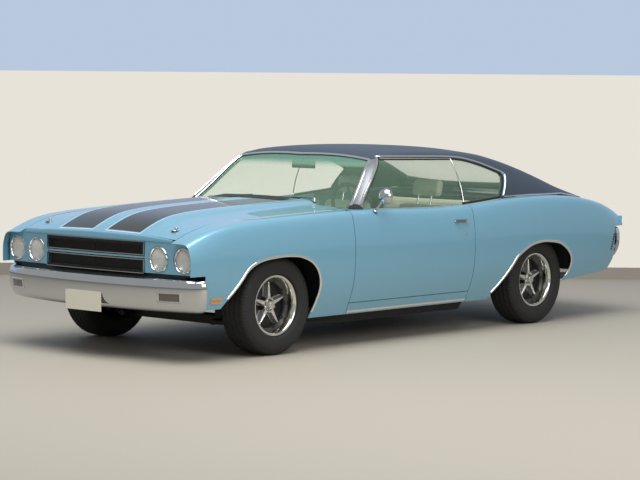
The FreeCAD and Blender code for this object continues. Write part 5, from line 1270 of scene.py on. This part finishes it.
seat_x = 370.0
seat_pads = [
    ("seat_cushion", 236.0, 540.0, 210.0, 50.0, 0.0, (seat_x, -110.0, 300.0), "top"),
    ("seat_back", 250.0, 120.0, 520.0, 50.0, 18.0, (seat_x, 370.0, 440.0), "front"),
    ("head_rest", 140.0, 90.0, 150.0, 40.0, 12.0, (seat_x, 535.0, 955.0), "front"),
]
replaced = ("front_seats",)
for label, *sizes in seat_pads:
    left = stuffed(label + "_left", *sizes)
    right = second_of(left, label + "_right", -2 * seat_x)
    fitted(left, replaced)
    fitted(right)
    replaced = ()
fitted(stuffed("bench_cushion", 590.0, 440.0, 90.0, 40.0, 0.0, (0, 690.0, 510.0), "top"), ("rear_seat",))
fitted(stuffed("bench_back", 590.0, 110.0, 420.0, 45.0, 22.0, (0, 1050.0, 545.0), "front"))

# Seat bases and head rest stalks
# Black pressed bases bolted to the floor, and bright tubes that carry the head rests.
base_wide, base_tall, base_z, base_ends_y = 400.0, 70.0, 290.0, (-60.0, 400.0)
stalk_apart, stalk_radius, stalk_long = 60.0, 6, 105
stalk_profile = [(0, 0), (stalk_radius, 0), (stalk_radius, stalk_long), (0, stalk_long)]
bases, stalks = [], []
for side_sign in (1, -1):
    x = side_sign * seat_x
    line = np.array([(x, y, base_z) for y in base_ends_y])
    bases.append(square_bar(line, base_wide, base_tall, (1, 0, 0)))
    for d in (-stalk_apart, stalk_apart):
        start, end = np.array([x + d, 548.0, 880.0]), np.array([x + d, 572.0, 985.0])
        axis = (end - start) / np.linalg.norm(end - start)
        stalks.append(turned(stalk_profile, start, axis, 16))
# Pressed steel, painted black: dark, half glossy.
make_piece("seat_bases", bases, finish_of("black_seat_base", "101113", 0.5), "body")
make_piece("head_rest_stalks", stalks, chrome, "body")

# Dashboard, steering wheel and cabin
# A padded black dash, a thin-rimmed steering wheel on its column, black carpet and trim.
# Vinyl drawn over foam: black, with a broad dull light.
padded_black = finish_of("padded_black_vinyl", "15171A", 0.6)
dress(["dashboard", "steering_wheel", "steering_column", "parcel_shelf"], padded_black)
# Looped pile: black without shine. Moulded plastic case: dark, half glossy.
dress(["floor_pan"], finish_of("black_carpet", "0F1012", 0.95))
dress(["cabin_mirror"], finish_of("mirror_case", "23282A", 0.25))

# Chassis, engine and running gear
# Welded black rails and arms, an undercoated body shell, a painted engine and a plain exhaust.
# Brushed black paint on the rails, sprayed red enamel on the engine, bare steel dulled by heat,
# coated tank steel, and a rough black coating that swallows the light inside the arches.
dress(["frame", "rear_axle", "control_arms", "driveline"], finish_of("chassis_paint", "121314", 0.6))
dress(["engine"], finish_of("engine_enamel", "7A2A1E", 0.5))
dress(["exhaust"], finish_of("exhaust_steel", "6E6A64", 0.55, Metallic=0.8))
dress(["fuel_tank"], finish_of("tank_steel", "2B2C2D", 0.6, Metallic=0.4))
dress(["radiator", "wheelhouses", "cowl"], finish_of("underbody_coating", "0E0F10", 0.85))

# Bright mouldings
# Half-round stainless strips clipped along the wheel openings, the windows, the roof's drip rail,
# the vinyl's edge and the sill.
trim_proud, frame_proud, trim_outset, belt_strip_x, sill_strip_z = 3.0, 2.0, 8.0, 862.0, 236.0
# Rolled and buffed stainless steel: a white mirror, a little blurred.
bright_trim = finish_of("stainless_trim", "E2E4E4", 0.1, Metallic=1.0)


def moulding(points, normals, wide, tall):
    """A half-round strip along a line on a surface: each section runs over from one edge to the other."""
    sections = 8
    along = np.gradient(points, axis=0)
    along /= np.linalg.norm(along, axis=1, keepdims=True) + 1e-9
    across = np.cross(along, normals)
    across /= np.linalg.norm(across, axis=1, keepdims=True) + 1e-9
    angle = np.linspace(0, np.pi, sections + 1)[None, :, None]
    over = across[:, None] * np.cos(angle) * wide / 2 + normals[:, None] * (np.sin(angle) * tall + 0.3)
    under = points[:, None] - normals[:, None] * 1.5
    low = under + across[:, None] * np.array([[[-wide / 2], [wide / 2]]])
    grid = np.concatenate([points[:, None] + over, low, points[:, None] + over[:, :1]], axis=1)
    cap_start = np.broadcast_to(points[:1, None], grid[:1].shape)
    cap_end = np.broadcast_to(points[-1:, None], grid[:1].shape)
    grid = np.concatenate([cap_start, grid, cap_end])
    middle, column = len(grid) // 2, sections // 2
    normal = grid_normals(grid)[middle, column]
    return grid if normal @ normals[middle - 1] > 0 else grid[::-1]


def cabin_strip(uv, wide, tall, proud):
    """A moulding along a line of parameters of the cabin's surface."""
    normals = cabin_normals(uv)
    return moulding(on_net(cabin, uv) + normals * proud, normals, wide, tall)


def side_strip(uv, outward, wide, tall):
    """A moulding along a line of parameters of the side's surface, on the paint."""
    normals = normals_on(side, uv, outward)
    return moulding(on_net(side, uv) + normals * coat, normals, wide, tall)


def beside(line, offset, middle):
    """A line in length and height moved away from a middle by an offset."""
    step = np.gradient(line, axis=0)
    away = np.stack([step[:, 1], -step[:, 0]], -1)
    away /= np.linalg.norm(away, axis=1, keepdims=True) + 1e-9
    sign = np.sign(((line - middle) * away).sum(axis=1, keepdims=True))
    return line + away * sign * offset


def trim_lines():
    """All the strips of the left side: both arches, the post, over the windows, the vinyl's foot,
    the belt of the fender and the door, the belt of the quarter, and the sill."""
    strips = []
    arches = ((front_arch, front_axle_y, 400.0, 262.0), (rear_arch, rear_axle_y, 262.0, 345.0))
    for arch, axle_y, ahead_z, behind_z in arches:
        run = arch[arch[:, 1] > np.where(arch[:, 0] < axle_y, ahead_z, behind_z)]
        line = even(beside(run, 6.0, [axle_y, tyre_radius]), 120)
        strips.append(side_strip(side_at(line[:, 0], line[:, 1]), out_side, 20.0, 6.0))
    rail = even([(-664.0, 958.0), (-297.0, 1272.0)], 40)
    strips.append(cabin_strip(wall_line(rail), 16.0, 5.0, trim_proud))
    window_end = quarter_window[5:8] + [(16.0, 6.0), (20.0, 0.0), (22.0, -2.0)]
    over = [(-297.0, 1272.0), (-150.0, 1272.0), (200.0, 1266.0), (430.8, 1260.0)]
    over += (quarter_window[2:5] + [2.0, 8.0]).tolist() + window_end.tolist()
    over = even(through(over, 300), 160)
    over = over[over[:, 1] > belt_z(over[:, 0]) + 3]
    strips.append(cabin_strip(wall_line(over), 12.0, 6.0, trim_proud))
    foot_y = np.linspace(905.0, sail_end_y - 6, 100)
    strips.append(cabin_strip(cabin_side(foot_y, belt_z(foot_y) + 7), 12.0, 5.0, trim_proud))
    for start_y, end_y, count in ((fender_tip[1] + 100, door_rear_y - 6, 60), (door_rear_y + 6, 840.0, 40)):
        belt = side_top(np.linspace(start_y, end_y, count), belt_strip_x)
        strips.append(side_strip(belt, out_up, 9.0, 3.0))
    sill_y = np.linspace(door_front_y + 8, door_rear_y - 8, 60)
    strips.append(side_strip(side_at(sill_y, sill_strip_z), out_side, 22.0, 3.0))
    return strips


def window_frames():
    """The strips round the windshield and the backlight, both sides in one run."""
    out = trim_outset
    foot, end = (shield_low[0] + out, shield_low[1] - 20), (shield_top_x + out, windshield_corner_y + 4)
    post, corner = roof_line(even([foot, end], 40)), (shield_top_x + out, windshield_corner_y + 6)
    head = roof_line(even([corner, (0.0, windshield_top_y + out), (-corner[0], corner[1])], 120))
    run = np.concatenate([post, head[1:-1], over_middle(post[::-1])])
    strips = [cabin_strip(run, 22.0, 5.0, frame_proud)]
    top, low = (light_top_x + out, backlight_top_y - out), (light_low_x + out, backlight_low_y + out)
    left = roof_line(even([top, low], 60))
    lines = [cabin_top(y, np.linspace(1, -1, 100) * half) for half, y in (top, low)]
    for line in lines + [left, over_middle(left)]:
        strips.append(cabin_strip(line, 14.0, 4.0, frame_proud))
    return strips


make_piece("side_mouldings", both_sides(trim_lines()), bright_trim, "body")
make_piece("window_mouldings", window_frames(), bright_trim, "body")

# Window seals and the bar between the side windows
# Black rubber round the side glass, and a thin bright bar down the quarter glass's front edge.
# Extruded rubber, a little chalky: flat black.
seal_rubber = finish_of("window_seal_rubber", "0D0E0F", 0.7)
seal_sunk, bar_y = -4.0, 436.0
seal_shift = [(0, -4), (-2, -4), (-2, -5), (-4, -5), (-6, -4), (-9, 0), (-7, 2)]
seal_line = even(through(quarter_window[1:8] + seal_shift, 200), 90)
top_line = even([(-290.0, 1258.0), (426.0, 1246.0)], 40)
seals = [cabin_strip(wall_line(seal_line), 14.0, 4.0, seal_sunk)]
seals.append(cabin_strip(wall_line(top_line), 12.0, 4.0, seal_sunk))
bars = [cabin_strip(cabin_side(bar_y, np.linspace(940.0, 1246.0, 40)), 11.0, 5.0, seal_sunk)]
make_piece("window_seals", both_sides(seals), seal_rubber, "body")
make_piece("divider_bars", both_sides(bars), bright_trim, "body")

# Painted strip behind the quarter window
# The vinyl stops at a bright moulding here, and body colour shows between it and the glass.
strip_proud, strip_fold = 3.2, 2.5
strip_front = even(through(quarter_window[5:8] + [(3.0, 2.0), (4.0, 0.0), (4.0, -2.0)], 60), 40)
strip_rear = even(through(quarter_window[5:8] + [(14.0, 5.0), (18.0, 0.0), (20.0, -4.0)], 60), 40)
above_belt = strip_rear[:, 1] > belt_z(strip_rear[:, 0])
strip_uv = upright(wall_line(strip_front)[above_belt], wall_line(strip_rear)[above_belt], 4)
strip_skin = facing(on_net(cabin, strip_uv) + cabin_normals(strip_uv) * strip_proud, (1, 0, 0))
make_piece("window_paint_strips", both_sides([folded(strip_skin, strip_fold)]), lacquer, "body")

# Door handles and locks
# Die-cast chromed pull handles with a push button, and a round lock below the rear end.
handle_y, handle_z, lock_place = (205.0, 352.0), 812.0, (326.0, 722.0)


def pull_handle():
    """The handle: a flat bar held off the skin by two feet, a button and the lock."""
    y = np.array([handle_y[0], handle_y[0] + 24, handle_y[1] - 42, handle_y[1] - 14, handle_y[1]])
    lift = np.array([5.0, 17.0, 17.0, 12.0, 5.0])
    uv = side_at(y, handle_z)
    line = on_net(side, uv) + normals_on(side, uv, out_side) * lift[:, None]
    pieces = [square_bar(even(line, 24), 9.0, 20.0, (1, 0, 0))]
    rounds = (
        ((handle_y[1] - 22, handle_z), 15.0, 15.0), (lock_place, 10.0, 6.0),
        ((handle_y[0] + 8, handle_z), 9.0, 12.0),
    )
    for place, radius, deep in rounds:
        uv = side_at(*place)
        start, axis = on_net(side, uv), normals_on(side, uv[None], out_side)[0]
        button = [(0, deep), (radius * 0.8, deep), (radius, deep - 2), (radius, -1), (0, -1)]
        pieces.append(turned(button, start, axis, 32))
    return pieces


for hand, turn in both_hands:
    make_piece("door_handle_" + hand, [turn(g) for g in pull_handle()], chrome, "door_" + hand)

# Door mirror
# A round chromed head on a slanting stalk, screwed to the left door below the glass.
mirror_centre, mirror_foot = np.array([950.0, -575.0, 1017.0]), np.array([907.0, -628.0, 912.0])
mirror_head = [(0, -34), (18, -32), (36, -24), (50, -10), (57, 6), (58, 14), (55, 18), (52, 18)]
head_shell = turned(mirror_head, mirror_centre, (0, 1, 0), 64)
stalk_way = (mirror_centre - mirror_foot) / np.linalg.norm(mirror_centre - mirror_foot)
stalk = turned([(0, 0), (20, 0), (19, 3), (9, 8), (7, 30), (7, 112), (0, 112)], mirror_foot, stalk_way, 32)
make_piece("door_mirror_shell", [head_shell, stalk], chrome, "door_left", replaces=["door_mirror"])
mirror_face = facing(turned([(0, 16.5), (53, 16.5)], mirror_centre, (0, 1, 0), 48), (0, 1, 0))
# Flat glass silvered on its back: a perfect, faintly blue mirror.
make_piece("door_mirror_glass", [mirror_face], finish_of("silvered_mirror", "C8D2D6", 0.02, Metallic=1.0),
           "door_left")

# Side marker lamps
# Two amber bars low on each fender, and a leaning column of seven small dark ribs on each quarter.
# The lenses are moulded plastic: glossy amber, a dark red that looks black, and clear red behind.
amber = finish_of("amber_lens", "D98A25", 0.2, Coat_Weight=0.6)
dark_lens = finish_of("dark_red_lens", "2A1518", 0.3)
rib_count, rib_foot_z, rib_step_z, rib_step_y = 7, 512.0, 18.5, 6.5


def on_side(y, z, proud):
    """A small plate that stands proud of the side between lengths and heights."""
    y_line, z_line = np.linspace(*y, 8), np.linspace(*z, 4)
    y_grid, z_grid = np.meshgrid(y_line, z_line)
    return folded(side_skin(side_at(y_grid, z_grid), proud), proud)


front_bars = [on_side((-2210.0, -2120.0), (low, low + 12.0), 5.0) for low in (384.0, 408.0)]
ribs = []
for k in range(rib_count):
    low, shift = rib_foot_z + k * rib_step_z, k * rib_step_y
    ribs.append(on_side((2182.0 + shift, 2208.0 + shift), (low, low + 11.0), 3.0))
make_piece("front_markers", both_sides(front_bars), amber, "body", replaces=["marker_lamps"])
make_piece("rear_markers", both_sides(ribs), dark_lens, "body")
dress(["tail_lamps"], finish_of("red_tail_lens", "8C1616", 0.2, Coat_Weight=0.6))

# Hood pins
# A post through an oval bright plate at each front corner of the hood, held by a clip.
for hand, side_sign in (("left", 1), ("right", -1)):
    point = lid_grid(hood_net, np.array([-2240.0, -2230.0]), np.array([612.0, 622.0]) * side_sign)[0, 0]
    plate = turned([(0, 3), (24, 3), (26, 1), (26, -1), (0, -1)], point, (0, 0, 1), 40)
    plate[..., 1] = point[1] + (plate[..., 1] - point[1]) * 1.5
    post = turned([(0, 24), (5, 23), (6, 20), (6, 0)], point, (0, 0, 1), 20)
    clip = turned([(3, 16), (3, -16), (0, -16)], point + [0, 0, 13], (1, 0, 0), 12)
    make_piece("hood_pin_" + hand, [plate, post, clip], chrome, "hood")

# Cowl flap
# A satin black vent flap let into the hood's rear end, standing a little open.
flap_x, flap_y = np.linspace(-330.0, 330.0, 40), np.linspace(-960.0, -836.0, 12)
flap_lifts, flap_fold = (2.0, 11.0), 2.0
flap = lid_grid(hood_net, flap_y, flap_x)
flap = flap + np.array([0, 0, 1.0]) * np.interp(flap[..., 1:2], flap_y[[0, -1]], flap_lifts)
make_piece("cowl_flap", [folded(facing(flap, out_up), flap_fold)], padded_black, "hood")

# Wipers
# Two bright arms with black blades, parked along the windshield's foot behind the cowl flap.
arm_lift, arm_ends_y = 16.0, (-716.0, -700.0)
wipers, blades = [], []
for pivot_x, tip_x in ((420.0, -60.0), (-160.0, -590.0)):
    x = np.linspace(pivot_x, tip_x, 30)
    uv = cabin_top(np.interp(x, [tip_x, pivot_x], arm_ends_y), x)
    line = on_net(cabin, uv) + cabin_normals(uv) * arm_lift
    wipers.append(square_bar(line, 8.0, 5.0))
    blades.append(square_bar(line[8:] + [0, 2.0, -7.0], 5.0, 12.0))
    start = np.array([pivot_x, line[0, 1], line[0, 2] - 22.0])
    wipers.append(turned([(0, 26), (8, 26), (10, 20), (12, 0)], start, (0, 0, 1), 24))
make_piece("wiper_arms", wipers, bright_trim, "body")
make_piece("wiper_blades", blades, seal_rubber, "body")

# Studio
# A smooth pale concrete floor that ends at a dark skirting, with a cream wall seen behind it.
floor_reach, floor_far, skirting_tall = 60.0, 4.23, 0.11
camera_yaw, camera_pitch, camera_roll = (math.radians(a) for a in (-41.9, -4.02, -0.46))
view_way = np.array([math.sin(camera_yaw), math.cos(camera_yaw)])
across_way = np.array([math.cos(camera_yaw), -math.sin(camera_yaw)])


def stage_plane(name, corners, material):
    """A flat studio surface between corners in metres."""
    mesh = bpy.data.meshes.new(name)
    mesh.from_pydata(corners, [], [tuple(range(len(corners)))])
    mesh.materials.append(material)
    plane = bpy.data.objects.new(name, mesh)
    bpy.context.scene.collection.objects.link(plane)


def floor_points(*places):
    """Corners in metres from their distances ahead, across and above, as the camera looks."""
    flat = [(view_way * ahead + across_way * across * floor_reach, high) for ahead, across, high in places]
    return [(float(x), float(y), high) for (x, y), high in flat]


# Concrete trowelled smooth: a warm even grey. The skirting is painted a flat grey.
floor_corners = floor_points(
    (-floor_reach, -1, 0.0), (-floor_reach, 1, 0.0), (floor_far, 1, 0.0), (floor_far, -1, 0.0)
)
stage_plane("studio_floor", floor_corners, finish_of("pale_concrete", "A09A8D", 0.7))
skirting_corners = floor_points(
    (floor_far, -1, 0.0), (floor_far, 1, 0.0), (floor_far, 1, skirting_tall), (floor_far, -1, skirting_tall)
)
stage_plane("studio_skirting", skirting_corners, finish_of("grey_skirting", "8F8880", 0.7))

# A broad pale blue band is painted high on the wall, far behind the car: an even flat light.
band_ahead, band_low, band_high = 40.0, 2.02, 30.0
band_paint = finish_of("pale_blue_wall_paint", "000000", 0.9, Emission_Strength=1.0,
                       Emission_Color=hex_colour("B7C7DD"))
band_corners = floor_points(
    (band_ahead, -1, band_low), (band_ahead, 1, band_low), (band_ahead, 1, band_high),
    (band_ahead, -1, band_high)
)
stage_plane("studio_wall_band", band_corners, band_paint)

# The wall's cream is what the camera sees; a weaker cool white lights the car from all round.
sky_strength, wall_strength = 0.55, 1.0
world = bpy.data.worlds.new("studio_world")
bpy.context.scene.world = world
world.use_nodes = True
world_tree = world.node_tree
soft_light = world_tree.nodes["Background"]
soft_light.inputs["Color"].default_value = hex_colour("E6E9EA")
soft_light.inputs["Strength"].default_value = sky_strength
wall_seen = add_node(
    world_tree, "ShaderNodeBackground", {"Color": hex_colour("E8E3D8"), "Strength": wall_strength}
)
rays = add_node(world_tree, "ShaderNodeLightPath")
seen = add_node(
    world_tree, "ShaderNodeMath", {"operation": "MAXIMUM"},
    {0: rays.outputs["Is Camera Ray"], 1: rays.outputs["Is Transmission Ray"]},
)
either = add_node(
    world_tree, "ShaderNodeMixShader", {},
    {0: seen.outputs["Value"], 1: soft_light.outputs["Background"], 2: wall_seen.outputs["Background"]},
)
world_tree.links.new(either.outputs["Shader"], world_tree.nodes["World Output"].inputs["Surface"])


def soft_panel(name, place, target, size, power):
    """A large square lamp that faces a point."""
    lamp = bpy.data.lights.new(name, "AREA")
    lamp.shape, lamp.size, lamp.energy = "SQUARE", size, power
    panel = bpy.data.objects.new(name, lamp)
    panel.location = place
    away = Vector(place) - Vector(target)
    panel.rotation_euler = away.to_track_quat("Z", "Y").to_euler()
    bpy.context.scene.collection.objects.link(panel)


overhead_watts, side_watts = 900, 260
soft_panel("overhead_panel", (2.0, -3.0, 8.0), (0, 0, 0.5), 7.0, overhead_watts)
soft_panel("side_panel", (9.0, -3.0, 4.0), (0, 0, 0.6), 4.0, side_watts)

# Camera: from the car's front left, low and far back, as the photograph was taken
lens_mm, sensor_mm = 126.4, 36.0
camera_place = (10.863, -12.2865, 1.792)
camera_data = bpy.data.cameras.new("studio_camera")
camera_data.lens, camera_data.sensor_width = lens_mm, sensor_mm
camera = bpy.data.objects.new("studio_camera", camera_data)
ahead = Vector((
    math.cos(camera_pitch) * math.sin(camera_yaw), math.cos(camera_pitch) * math.cos(camera_yaw),
    math.sin(camera_pitch),
))
level = ahead.to_track_quat("-Z", "Y").to_matrix()
camera.matrix_world = (
    Matrix.Translation(camera_place) @ (level @ Matrix.Rotation(-camera_roll, 3, "Z")).to_4x4()
)
bpy.context.scene.collection.objects.link(camera)
bpy.context.scene.camera = camera
bpy.context.scene.view_settings.view_transform = "Standard"
